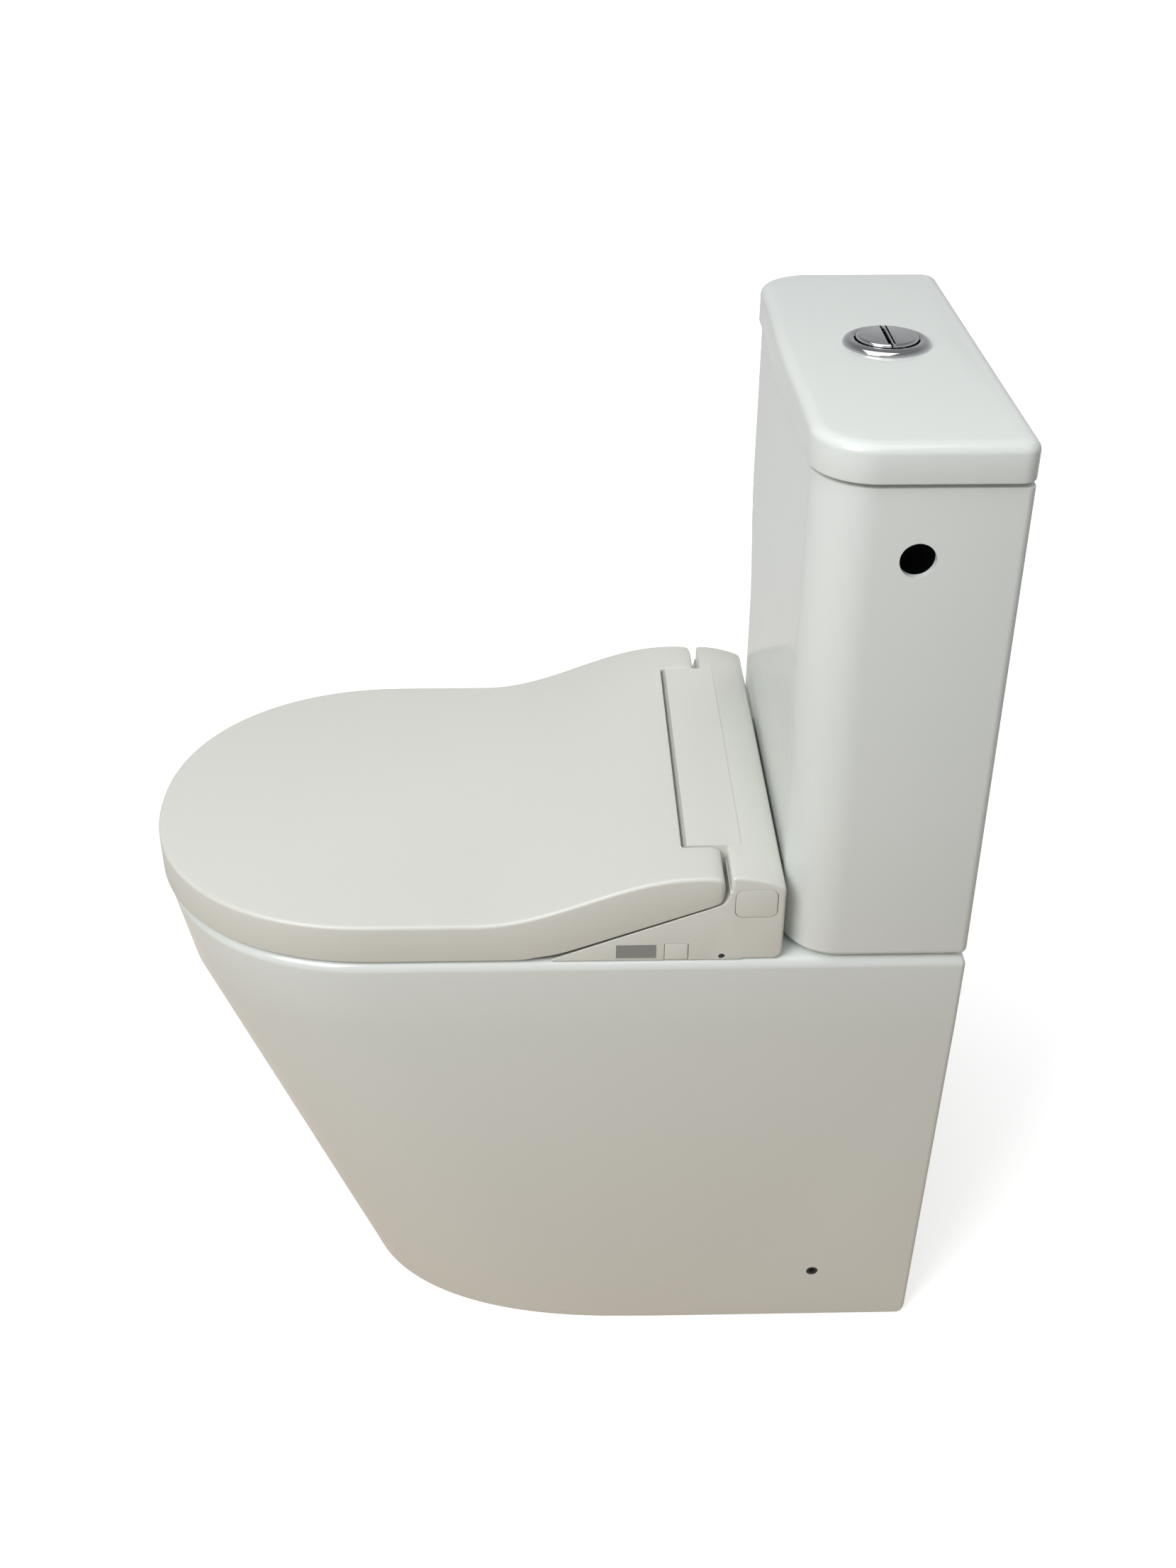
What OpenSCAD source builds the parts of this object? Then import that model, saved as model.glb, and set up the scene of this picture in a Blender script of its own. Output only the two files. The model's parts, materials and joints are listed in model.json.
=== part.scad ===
// Close coupled toilet: back-to-wall pan, lever-free dual flush cistern and a wash seat.
// Millimetres. +Z is up, the front faces -Y, and the origin is on the floor under the
// centre of the whole suite. Inside from_wall() a piece is drawn from the wall plane
// (y = 0) forwards, so a depth d in front of the wall is y = -d.

/* [Pan] */
// Width of the pan across the rim
pan_w = 365; // [362:1:372]
// Depth of the pan from the wall to the front of the rim
pan_d = 628; // [620:1:650]
// Height of the rim above the floor
pan_h = 412; // [400:1:440]
// How far each side of the foot stands in from the side of the rim
foot_in = 16.5; // [10:0.5:25]
// Depth of the foot from the wall
foot_d = 488; // [470:1:510]
// Height, below the rim, at which the front of the pan starts to slope back
knee_down = 67; // [50:1:90]
// How far the front of the pan stands in at that height
knee_in = 11; // [6:0.5:16]
// Thickness of the china walls of the pan
china_t = 10; // [8:0.5:12]
// Thickness of the deck and of the rim
deck_t = 12; // [10:0.5:14]
// Radius of the rounded rim edge
rim_r = 8; // [5:0.5:9]
// Width of the bowl opening
bowl_w = 254; // [240:1:260]
// Width of the rim in front of the bowl
rim_front = 43; // [40:1:50]
// Radius of the sump at the bottom of the bowl
sump_r = 36; // [34:1:42]
// Height of the bottom of the sump above the floor
sump_z = 75; // [70:1:85]

/* [Waste] */
// Height of the standing water in the bowl
water_z = 190; // [185:1:200]
// Depth of the water seal
seal_d = 52; // [50:1:60]
// Radius of the bore of the trapway
trap_r = 33; // [30:0.5:36]
// Height of the centre of the outlet
outlet_z = 185; // [180:1:190]
// Outside radius of the outlet spigot
outlet_r = 51; // [49:0.5:55]
// Distance of the end of the spigot from the wall
outlet_back = 12; // [8:1:20]

/* [Fixings] */
// Radius of the floor fixing hole in each side of the foot
foot_hole_r = 5; // [4:0.5:6]
// Distance of the floor fixing holes from the wall
foot_hole_d = 90; // [70:1:110]
// Height of the floor fixing holes above the floor
foot_hole_z = 58; // [45:1:90]
// Distance between the two seat fixing holes
seat_hole_pitch = 155; // [150:1:160]
// Distance of the seat fixing holes from the wall
seat_hole_d = 190; // [185:1:200]
// Radius of the seat fixing holes
seat_hole_r = 7; // [6.5:0.5:8]
// Radius of the two service holes under the seat housing
service_hole_r = 13; // [11:0.5:15]

/* [Cistern] */
// How far each side of the cistern stands in from the side of the pan
cistern_in = 0; // [-2:0.5:4]
// Depth of the cistern body
cistern_d = 137.5; // [125:0.5:138]
// Height of the cistern body without its lid
cistern_h = 380; // [370:1:395]
// Gap between the cistern body and the wall
cistern_back = 0.5; // [0:0.5:5]
// Height of the cistern above the deck
cistern_lift = 3; // [2:0.5:5]
// Thickness of the cistern walls
cistern_t = 10; // [8:0.5:11]
// Thickness of the cistern floor
cistern_floor_t = 12; // [10:0.5:14]
// Radius of the front corners of the cistern body
cistern_r = 40; // [30:1:42]
// Radius of the lower front edge of the cistern body
cistern_toe_r = 5; // [3:0.5:20]
// How far the cistern lid stands out past each side of the cistern
tank_lid_over = 3.5; // [2:0.5:6]
// Depth of the cistern lid
tank_lid_d = 147; // [142:1:148]
// Height of the cistern lid
tank_lid_h = 30; // [26:1:34]
// Thickness of the cistern lid
tank_lid_t = 9; // [7:0.5:10]
// Radius of the water inlet hole in the side of the cistern
inlet_r = 12.25; // [11:0.25:13]
// Distance of the water inlet hole from the wall
inlet_d = 72; // [60:1:80]
// Distance of the water inlet hole below the top of the cistern body
inlet_down = 54; // [45:1:70]
// Distance between the two bolts that hold the cistern to the pan
bolt_pitch = 150; // [140:1:160]
// Radius of the cistern bolts
bolt_r = 4; // [3:0.5:4]

/* [Flush] */
// Distance of the flush valve and the buttons from the wall
valve_d = 70; // [66:1:72]
// Radius of the threaded tail of the flush valve
valve_tail_r = 29; // [27:0.5:30]
// Travel of the flush buttons
button_travel = 6; // [4:0.5:7]
// Outside radius of the chrome ring round the buttons
button_ring_r = 33; // [30:0.5:36]
// Radius of the pair of flush buttons
button_r = 23.4; // [21:0.1:24]
// Radius of the threaded sleeve of the button ring
button_sleeve_r = 25.5; // [25.2:0.1:27]
// Distance of the fill valve from the side of the cistern
fill_in = 62.5; // [58:0.5:70]
// Radius of the threaded shank of the fill valve
fill_shank_r = 10.4; // [10:0.1:10.5]
// Travel of the float of the fill valve
float_travel = 14; // [10:1:16]

/* [Seat] */
// How far each side of the seat lid stands in from the side of the pan
seat_in = 1.5; // [0.5:0.25:4]
// Overhang of the seat lid in front of the rim
seat_lip = 4; // [2:0.5:8]
// Height of the front of the seat lid above the rim
seat_front_h = 34; // [32:1:38]
// Height of the hump at the back of the seat lid above the rim
hump_h = 75; // [73:1:80]
// Gap between the seat lid and the rim
lid_gap = 1.5; // [1:0.25:2]
// Wall thickness of the seat lid
lid_t = 2.8; // [2.4:0.1:3]
// Thickness of the seat ring
ring_t = 20; // [16:1:21]
// Height of the underside of the seat ring above the rim
ring_lift = 5; // [4:0.5:6]
// Gap between the seat ring and the inside of the lid
ring_gap = 2.7; // [2:0.1:4]
// Width of the opening in the seat ring
ring_open_w = 210; // [200:1:230]
// Width of the seat ring in front of its opening
ring_front_w = 53.5; // [48:0.5:62]
// How far each side of the seat housing stands in from the side of the lid
housing_in = 1; // [0.5:0.25:3]
// Depth of the seat housing
housing_d = 123; // [121:1:128]
// Gap between the seat housing and the cistern
housing_gap = 2; // [1:0.5:4]
// Wall thickness of the seat housing
housing_t = 2.8; // [2.4:0.1:3.2]
// Width of each ear of the seat lid
ear_w = 42; // [41:0.5:44]
// Radius of the hinge pins
pin_r = 4.5; // [4:0.25:4.5]
// Radial clearance of a running pin
pin_fit = 0.05; // [0.02:0.01:0.08]
// Angle to which the seat lid opens
lid_open = 98; // [90:1:98]
// Angle to which the seat ring opens
ring_open = 93; // [85:1:93]

/* [Wash unit] */
// Radius of the spray wands
wand_r = 6.5; // [5:0.25:6.5]
// Distance between the two spray wands
wand_pitch = 18; // [16.5:0.5:20]
// Length of the spray wands
wand_l = 98; // [85:1:98]
// Slope of the spray wands below the horizontal
wand_slope = 32; // [30:1:33]
// Travel of the spray wands
wand_travel = 85; // [60:1:88]
// Travel of the seat release button
release_travel = 3; // [2:0.5:4]

/* [Hidden] */
$fn = 48;

// Running gap between pieces on different bodies, and loose gap between moving shapes
seat_fit = 0.3;
loose = 1;
white_china = "whitesmoke";
white_plastic = "snow";
rubber = "dimgray";
brass = "goldenrod";
depth = pan_d + seat_lip;
foot_w = pan_w - 2 * foot_in;
cistern_w = pan_w - 2 * cistern_in;
fill_x = cistern_w / 2 - fill_in;
tank_lid_w = cistern_w + 2 * tank_lid_over;
seat_w = pan_w - 2 * seat_in;
housing_w = seat_w - 2 * housing_in;
ear_span = seat_w - 2 * ear_w;
housing_back_d = cistern_back + cistern_d + housing_gap;
housing_front_d = housing_back_d + housing_d;

// ---- helpers -------------------------------------------------------------------

// Draws its children forwards from the wall plane.
module from_wall() translate([0, depth / 2, 0]) children();

module both_sides() {
    children();
    mirror([1, 0, 0]) children();
}

module slab(z, h) translate([0, 0, z]) linear_extrude(h) children();

// Extrudes a drawing in (y, z) along X from x0 to x1.
module along_x(x0, x1) translate([x0, 0, 0]) rotate([90, 0, 90]) linear_extrude(x1 - x0) children();

module box(x0, x1, y0, y1, z0, z1) translate([x0, y0, z0]) cube([x1 - x0, y1 - y0, z1 - z0]);

// A rod along X, Y or Z.
module rod_x(x0, x1, y, z, r) translate([x0, y, z]) rotate([0, 90, 0]) cylinder(r = r, h = x1 - x0);
module rod_y(x, y0, y1, z, r) translate([x, y1, z]) rotate([90, 0, 0]) cylinder(r = r, h = y1 - y0);
module rod_z(x, y, z0, z1, r) translate([x, y, z0]) cylinder(r = r, h = z1 - z0);

module washer_z(x, y, z0, z1, r, bore) difference() {
    rod_z(x, y, z0, z1, r);
    rod_z(x, y, z0 - 1, z1 + 1, bore);
}

// Points on an arc, n steps from angle a0 to a1.
function arc(cx, cy, r, a0, a1, n) =
    [for (i = [0:n]) let (a = a0 + (a1 - a0) * i / n) [cx + r * cos(a), cy + r * sin(a)]];

function signed_pow(v, p) = sign(v) * pow(abs(v), p);

// A superellipse of half sizes a and b, squarer as its power p grows.
function oval(a, b, p, n) = [for (i = [0:n - 1]) let (t = 360 * i / n)
    [a * signed_pow(cos(t), 2 / p), b * signed_pow(sin(t), 2 / p)]];

// The rounded nose of a D-shaped outline: the front half of a superellipse, right to left.
function nose(half_w, d_start, d_front, p, n) = [for (i = [0:n]) let (t = 180 * i / n)
    [half_w * signed_pow(cos(t), 2 / p), -d_start - (d_front - d_start) * pow(sin(t), 2 / p)]];

// A D-shaped outline with square back corners of a small radius.
function d_outline(w, d_back, d_start, d_front, p, n, back_r) = concat(
    nose(w / 2, d_start, d_front, p, n),
    arc(-w / 2 + back_r, -d_back - back_r, back_r, 180, 90, 4),
    arc(w / 2 - back_r, -d_back - back_r, back_r, 90, 0, 4));

// A closed tube through a list of rings, each a list of the same number of points.
module tube(rings) {
    n = len(rings[0]);
    last = (len(rings) - 1) * n;
    sides = [for (i = [0:len(rings) - 2], k = [0:n - 1])
        let (a = i * n + k, b = i * n + (k + 1) % n) [a, b, b + n, a + n]];
    ends = [[for (k = [n - 1:-1:0]) k], [for (k = [0:n - 1]) last + k]];
    polyhedron([for (ring = rings) each ring], concat(sides, ends));
}

// ---- pan -----------------------------------------------------------------------

nose_steps = 32;
rim_power = 2.15;
foot_power = 2.5;
// Depth at which the straight sides end and the nose begins
rim_nose_l = 180;
foot_nose_l = 258;
rim_nose_d = pan_d - rim_nose_l;
foot_nose_d = foot_d - foot_nose_l;
pan_back_r = 4;
knee_z = pan_h - knee_down;
knee_d = pan_d - knee_in;
knee_w = foot_w + (pan_w - foot_w) * knee_z / pan_h;

bowl_front_d = pan_d - rim_front;
housing_over_bowl = 4;
bowl_back_d = housing_front_d - housing_over_bowl;
bowl_l = bowl_front_d - bowl_back_d;
bowl_mid_d = (bowl_front_d + bowl_back_d) / 2;
bowl_power = 2.3;
sump_back = 109;
sump_d = bowl_back_d + sump_back;
bowl_steps = 6;

trap_t = 8;
lower_bend_r = 75;
upper_bend_r = 60;
outlet_bend_r = 45;
trap_back = 52;
trap_low_d = sump_d - trap_back;
trap_low_z = water_z - seal_d - trap_r;
trap_crest_z = water_z + trap_r;
trap_slope = 45;
// Sideways and upward reach of a bend that turns by the slope of the trap
function reach(r) = r * sin(trap_slope);
function rise(r) = r * (1 - cos(trap_slope));
climb = trap_crest_z - rise(upper_bend_r) - trap_low_z - rise(lower_bend_r);
drop = trap_crest_z - rise(upper_bend_r) - outlet_z - rise(outlet_bend_r);
climb_y = -trap_low_d + reach(lower_bend_r);
crest_y = climb_y + climb + reach(upper_bend_r);
drop_y = crest_y + reach(upper_bend_r);
outlet_y = drop_y + drop + reach(outlet_bend_r);

channel_w = 76;
channel_h = 36;
channel_t = 8;
channel_down = 60;
channel_over = 20;
inlet_cup_r = 50;
inlet_cup_deep = 22;
bolt_hole_r = bolt_r + 2;
service_in = 50;
service_back = 25;
service_x = housing_w / 2 - service_in;
service_d = housing_back_d + service_back;
fill_hole_r = 25;
deck_low_z = pan_h - deck_t;
channel_z = deck_low_z - channel_down;
spigot_root_y = outlet_y - 2 * trap_t;
spigot_collar_t = 6;
spigot_collar_h = 3;

function pan_outline(w, d_start, d_front, p, inset) =
    d_outline(w - 2 * inset, inset, d_start, d_front - inset, p, nose_steps, pan_back_r);

module pan_form(inset, z_low, z_high, edge) hull() {
    slab(z_low, 1) polygon(pan_outline(foot_w, foot_nose_d, foot_d, foot_power, inset));
    slab(knee_z, 1) polygon(pan_outline(knee_w, knee_d - rim_nose_l, knee_d, rim_power, inset));
    slab(z_high - edge - 1, 1) polygon(pan_outline(pan_w, rim_nose_d, pan_d, rim_power, inset));
    slab(z_high - edge * 0.3, 0.1)
        polygon(pan_outline(pan_w, rim_nose_d, pan_d, rim_power, inset + edge * 0.3));
    slab(z_high - 0.1, 0.1)
        polygon(pan_outline(pan_w, rim_nose_d, pan_d, rim_power, inset + edge));
}

// The space inside the skirt, open to the floor and to the wall.
module pan_cavity() hull() {
    for (y = [0, china_t * 3]) translate([0, y, 0]) {
        slab(-1, 1) polygon(pan_outline(foot_w, foot_nose_d, foot_d, foot_power, china_t));
        slab(knee_z, 1)
            polygon(pan_outline(knee_w, knee_d - rim_nose_l, knee_d, rim_power, china_t));
        slab(deck_low_z - 1, 1)
            polygon(pan_outline(pan_w, rim_nose_d, pan_d, rim_power, china_t));
    }
}

// The bowl, whose half sizes grow from the sump to the rim by a power of the height.
module bowl_form(wall, top) hull() for (i = [0:bowl_steps]) {
    f = pow(i / bowl_steps, 1.4);
    g = pow(f, 0.72);
    half_w = sump_r + (bowl_w / 2 - sump_r) * g + wall;
    half_l = sump_r + (bowl_l / 2 - sump_r) * g + wall;
    z = sump_z - wall + (top - sump_z + wall - 0.2) * f;
    translate([0, -(sump_d + (bowl_mid_d - sump_d) * f), 0])
        slab(z, 0.2) polygon(oval(half_w, half_l, bowl_power, 36));
}

// Stations [y, z, heading] along a bend in the (y, z) plane, from angle a0 to a1.
function bend(cy, cz, r, a0, a1, n) = [for (i = [0:n])
    let (a = a0 + (a1 - a0) * i / n, heading = a + 90 * sign(a1 - a0))
    [cy + r * cos(a), cz + r * sin(a), heading]];

trap_line = concat(
    bend(-trap_low_d, trap_low_z + lower_bend_r, lower_bend_r, 215, 270 + trap_slope, 8),
    bend(crest_y, trap_crest_z - upper_bend_r, upper_bend_r, 90 + trap_slope, 90 - trap_slope, 7),
    bend(outlet_y, outlet_z + outlet_bend_r, outlet_bend_r, 270 - trap_slope, 270, 4));
trap_sides = 28;

module trapway(r) tube([for (s = trap_line) [for (k = [0:trap_sides - 1])
    let (b = 360 * k / trap_sides)
    [r * cos(b), s[0] - r * sin(b) * sin(s[2]), s[1] + r * sin(b) * cos(s[2])]]]);

// The pan is one china casting. It is drawn as five solids that meet face to face:
// the skirt below the deck, the deck with the rim, the bowl, the trapway and the way
// that the flush takes from the cup under the cistern into the bowl.
module pan_skirt() color(white_china) from_wall() difference() {
    pan_form(0, 0, pan_h, rim_r);
    pan_cavity();
    box(-pan_w, pan_w, -pan_d - 1, 1, deck_low_z, pan_h + 1);
    both_sides()
        rod_x(foot_w / 2 - 2 * china_t, pan_w / 2, -foot_hole_d, foot_hole_z, foot_hole_r);
}

module pan_deck() color(white_china) from_wall() difference() {
    pan_form(0, 0, pan_h, rim_r);
    box(-pan_w, pan_w, -pan_d - 1, 1, -1, deck_low_z);
    bowl_form(0, pan_h + 1);
    rod_z(0, -valve_d, deck_low_z - 1, pan_h + 1, inlet_cup_r);
    both_sides() {
        rod_z(bolt_pitch / 2, -valve_d, deck_low_z - 1, pan_h + 1, bolt_hole_r);
        rod_z(seat_hole_pitch / 2, -seat_hole_d, deck_low_z - 1, pan_h + 1, seat_hole_r);
        rod_z(service_x, -service_d, deck_low_z - 1, pan_h + 1, service_hole_r);
    }
    rod_z(-fill_x, -valve_d, deck_low_z - 1, pan_h + 1, fill_hole_r);
}

module pan_bowl() color(white_china) from_wall() difference() {
    intersection() {
        bowl_form(china_t, deck_low_z);
        pan_cavity();
    }
    bowl_form(0, pan_h + 1);
    trapway(trap_r);
    channel_way();
}

module pan_trapway() color(white_china) from_wall() difference() {
    union() {
        trapway(trap_r + trap_t);
        rod_y(0, spigot_root_y, spigot_root_y + spigot_collar_t, outlet_z,
            outlet_r + spigot_collar_h);
        rod_y(0, spigot_root_y, -outlet_back, outlet_z, outlet_r);
    }
    trapway(trap_r);
    rod_y(0, outlet_y - trap_t, 1, outlet_z, outlet_r - china_t);
    bowl_form(china_t, deck_low_z);
}

// The space that the flush water takes from under the cistern into the bowl.
module channel_way() box(-channel_w / 2, channel_w / 2, -bowl_back_d - channel_over, -valve_d, channel_z,
    channel_z + channel_h);

module pan_flush_channel() color(white_china) from_wall() difference() {
    union() {
        rod_z(0, -valve_d, channel_z - channel_t, deck_low_z, inlet_cup_r + channel_t);
        box(-channel_w / 2 - channel_t, channel_w / 2 + channel_t,
            -bowl_back_d - channel_t, -valve_d, channel_z - channel_t,
            channel_z + channel_h + channel_t);
    }
    bowl_form(china_t, deck_low_z);
    channel_way();
    rod_z(0, -valve_d, channel_z, pan_h, inlet_cup_r - channel_t);
    rod_z(0, -valve_d, pan_h - inlet_cup_deep, pan_h, inlet_cup_r);
}

// ---- cistern -------------------------------------------------------------------

cistern_z = pan_h + cistern_lift;
cistern_in_z = cistern_z + cistern_floor_t;
cistern_top = cistern_z + cistern_h;
cistern_front = cistern_back + cistern_d;
back_corner_r = 6;

// A plan rectangle with large front corners and small back corners, drawn exactly.
module tank_plan(w, d_back, d_front, front_r, back_r) {
    translate([-w / 2, -d_front + front_r]) square([w, d_front - d_back - front_r - back_r]);
    translate([-w / 2 + front_r, -d_front]) square([w - 2 * front_r, d_front - d_back]);
    translate([-w / 2 + back_r, -d_back - back_r]) square([w - 2 * back_r, back_r]);
    for (side = [-1, 1]) {
        translate([side * (w / 2 - front_r), -d_front + front_r]) circle(r = front_r);
        translate([side * (w / 2 - back_r), -d_back - back_r]) circle(r = back_r);
    }
}

// The side view of the cistern, whose lower front edge is rounded.
module tank_side(d_back, d_front, z0, z1, toe_r) {
    translate([-d_front, z0 + toe_r]) square([d_front - d_back, z1 - z0 - toe_r]);
    translate([-d_front + toe_r, z0]) square([d_front - d_back - toe_r, z1 - z0]);
    translate([-d_front + toe_r, z0 + toe_r]) circle(r = toe_r);
}

module tank_form(inset, floor_inset, z1) intersection() {
    slab(cistern_z - 1, z1 - cistern_z + 2) tank_plan(cistern_w - 2 * inset,
        cistern_back + inset, cistern_front - inset, cistern_r - inset, back_corner_r);
    along_x(-cistern_w / 2, cistern_w / 2) tank_side(cistern_back + inset,
        cistern_front - inset, cistern_z + floor_inset, z1,
        max(cistern_toe_r - inset, 2));
}

module cistern_body() color(white_china) from_wall() difference() {
    tank_form(0, 0, cistern_top);
    tank_form(cistern_t, cistern_floor_t, cistern_top + 1);
    rod_z(0, -valve_d, cistern_z - 1, cistern_in_z + 1, valve_tail_r + 1.5);
    rod_z(-fill_x, -valve_d, cistern_z - 1, cistern_in_z + 1, fill_shank_r + 1);
    both_sides() {
        rod_z(bolt_pitch / 2, -valve_d, cistern_z - 1, cistern_in_z + 1, bolt_hole_r);
        rod_x(cistern_w / 2 - cistern_t - 1, cistern_w / 2 + 1, -inlet_d, cistern_top - inlet_down,
            inlet_r);
    }
}

lid_top = cistern_top + tank_lid_h;
lid_under = lid_top - tank_lid_t;
tank_lid_front_r = cistern_r + 2;
tank_lid_back_r = 12;
tank_lid_edge_r = 8;
locating_rib_t = 5;
locating_rib_deep = 11;

module tank_lid_plan(inset) tank_plan(tank_lid_w - 2 * inset, inset, tank_lid_d - inset,
    tank_lid_front_r - inset, max(tank_lid_back_r - inset, 1));

module cistern_lid() color(white_china) from_wall() difference() {
    union() {
        difference() {
            hull() {
                slab(cistern_top + seat_fit, tank_lid_h - tank_lid_edge_r - seat_fit)
                    tank_lid_plan(0, $fn = 32);
                slab(lid_top - tank_lid_edge_r * 0.3, 0.1)
                    tank_lid_plan(tank_lid_edge_r * 0.3, $fn = 32);
                slab(lid_top - 0.1, 0.1) tank_lid_plan(tank_lid_edge_r, $fn = 32);
            }
            slab(cistern_top - 1, lid_under - cistern_top + 1) tank_lid_plan(tank_lid_t);
        }
        // Ribs that locate the lid inside the front and the back wall of the cistern
        for (y = [-cistern_front + cistern_t + 2, -cistern_back - cistern_t - 2 - locating_rib_t])
            box(-cistern_w / 4, cistern_w / 4, y, y + locating_rib_t,
                cistern_top - locating_rib_deep, lid_under + 1);
    }
    rod_z(0, -valve_d, cistern_top - 1, lid_top + 1, button_sleeve_r + 0.5);
}

// ---- cistern to pan ------------------------------------------------------------

valve_nut_t = 12;
valve_nut_r = 40;
washer_t = 3;

// The soft ring round the flush valve nut, between the cistern and the cup in the deck.
module doughnut_washer() color(rubber) from_wall()
    washer_z(0, -valve_d, pan_h - inlet_cup_deep, cistern_z, inlet_cup_r - 1, valve_nut_r + 2);

bolt_head_t = 5;
bolt_head_r = 9;
bolt_washer_r = 15;
bolt_below_deck = 30;
wing_nut_t = 8;

module cistern_bolts() color(brass) from_wall() both_sides() {
    rod_z(bolt_pitch / 2, -valve_d, pan_h - deck_t - bolt_below_deck,
        cistern_in_z + washer_t + 1, bolt_r);
    rod_z(bolt_pitch / 2, -valve_d, cistern_in_z + washer_t,
        cistern_in_z + washer_t + bolt_head_t, bolt_head_r);
}

module cistern_bolt_washers() color(rubber) from_wall() both_sides()
    washer_z(bolt_pitch / 2, -valve_d, cistern_in_z, cistern_in_z + washer_t, bolt_washer_r,
        bolt_r + pin_fit);

module cistern_wing_nuts() color(brass) from_wall() both_sides() {
    z1 = pan_h - deck_t;
    difference() {
        union() {
            rod_z(bolt_pitch / 2, -valve_d, z1 - wing_nut_t, z1, 2 * bolt_r);
            rod_z(bolt_pitch / 2, -valve_d, z1 - 2, z1, bolt_washer_r - 2);
            for (side = [-1, 1]) translate([bolt_pitch / 2, -valve_d + side * 2.2 * bolt_r, 0])
                box(-1.5, 1.5, -1.5 * bolt_r, 1.5 * bolt_r, z1 - 2 * wing_nut_t, z1 - 1);
        }
        rod_z(bolt_pitch / 2, -valve_d, z1 - 2 * wing_nut_t - 1, z1 + 1, bolt_r + pin_fit);
    }
}

// ---- flush valve ---------------------------------------------------------------

valve_flange_t = 6;
valve_tail_l = 14;
valve_flange_r = 42;
valve_seat_z = cistern_in_z + washer_t + valve_flange_t;
valve_bore_r = valve_tail_r - 4;
cage_r = 36;
cage_top_z = valve_seat_z + 130;
core_tube_r = 14;
core_down = 115;
core_top_z = cistern_top - core_down;
lift_ratio = 1.7;
core_lift = button_travel * lift_ratio;
rocker_z = core_top_z + core_lift + 11.8;
rocker_half_t = 4;
rocker_pivot_x = -12;
rocker_push = 20;
rocker_lift_arm = 28;
rocker_y = -valve_d - 12;
rocker_w = 10;
rocker_pin_r = 2;
rod_x0 = rocker_pivot_x + rocker_push;
mast_y = rocker_y - rocker_w / 2 - loose;
mast_t = 9;

module flush_valve_body() color("white") from_wall() {
    difference() {
        union() {
            rod_z(0, -valve_d, pan_h - inlet_cup_deep - valve_tail_l, cistern_in_z + washer_t + 1,
                valve_tail_r);
            rod_z(0, -valve_d, cistern_in_z + washer_t, valve_seat_z, valve_flange_r);
        }
        rod_z(0, -valve_d, pan_h - inlet_cup_deep - valve_tail_l - 1, valve_seat_z + 1, valve_bore_r);
    }
    // Cage: four posts and a top plate that guides the core
    for (a = [45:90:315]) translate([0, -valve_d, 0]) rotate([0, 0, a])
        box(cage_r - 4, cage_r, -5, 5, valve_seat_z - 1, cage_top_z);
    difference() {
        rod_z(0, -valve_d, cage_top_z - 1, cage_top_z + 5, cage_r);
        rod_z(0, -valve_d, cage_top_z - 2, cage_top_z + 6, core_tube_r + loose);
    }
    // Mast that carries the pivot of the rocker
    box(rocker_pivot_x - 5, rocker_pivot_x + 5, mast_y - mast_t, mast_y, cage_top_z + 4,
        rocker_z + 7);
    rod_y(rocker_pivot_x, mast_y - 1, rocker_y + rocker_w / 2 + 1, rocker_z, rocker_pin_r);
}

module flush_valve_washer() color(rubber) from_wall()
    washer_z(0, -valve_d, cistern_in_z, cistern_in_z + washer_t, valve_flange_r,
        valve_tail_r + pin_fit);

module flush_valve_nut() color("white") from_wall() difference() {
    union() {
        rod_z(0, -valve_d, cistern_z - valve_nut_t, cistern_z, valve_nut_r - 4);
        for (a = [0:45:315]) translate([0, -valve_d, 0]) rotate([0, 0, a])
            box(valve_nut_r - 6, valve_nut_r, -5, 5, cistern_z - valve_nut_t, cistern_z);
    }
    rod_z(0, -valve_d, cistern_z - valve_nut_t - 1, cistern_z + 1, valve_tail_r + pin_fit);
}

seal_t = 3;
seal_r = valve_bore_r + 5;
ear_gap = 0.6;
core_ear_z = rocker_z + rocker_half_t + ear_gap;
core_arm_x = rocker_pivot_x - rocker_lift_arm;

module flush_valve_core() color("lightgray") from_wall() difference() {
    union() {
        rod_z(0, -valve_d, valve_seat_z + seat_fit + seal_t, core_top_z, core_tube_r);
        rod_z(0, -valve_d, valve_seat_z + seat_fit + seal_t, valve_seat_z + seal_t + 6, seal_r);
        // Arm, post and ear that the rocker lifts
        box(core_arm_x + 1, 0, -valve_d - 4, -valve_d + 4, core_top_z - 10, core_top_z - 4);
        box(core_arm_x + 1, core_arm_x + 7, -valve_d - 4, -valve_d + 4, core_top_z - 10,
            core_ear_z + 4);
        box(core_arm_x + 1, core_arm_x + 7, rocker_y - rocker_w / 2, -valve_d + 4, core_ear_z,
            core_ear_z + 4);
    }
    rod_z(0, -valve_d, valve_seat_z, core_top_z + 1, core_tube_r - 2);
}

module flush_valve_seal() color("firebrick") from_wall()
    washer_z(0, -valve_d, valve_seat_z + seat_fit, valve_seat_z + seat_fit + seal_t, seal_r,
        core_tube_r - 2);

module flush_rocker() color("white") from_wall() difference() {
    union() {
        box(rocker_pivot_x - rocker_lift_arm, rod_x0 + 4, rocker_y - rocker_w / 2,
            rocker_y + rocker_w / 2, rocker_z - 1, rocker_z + rocker_half_t);
        rod_y(rocker_pivot_x, rocker_y - rocker_w / 2, rocker_y + rocker_w / 2, rocker_z,
            rocker_half_t);
    }
    rod_y(rocker_pivot_x, rocker_y - rocker_w, rocker_y + rocker_w, rocker_z,
        rocker_pin_r + pin_fit);
}

// ---- fill valve ----------------------------------------------------------------

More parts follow.
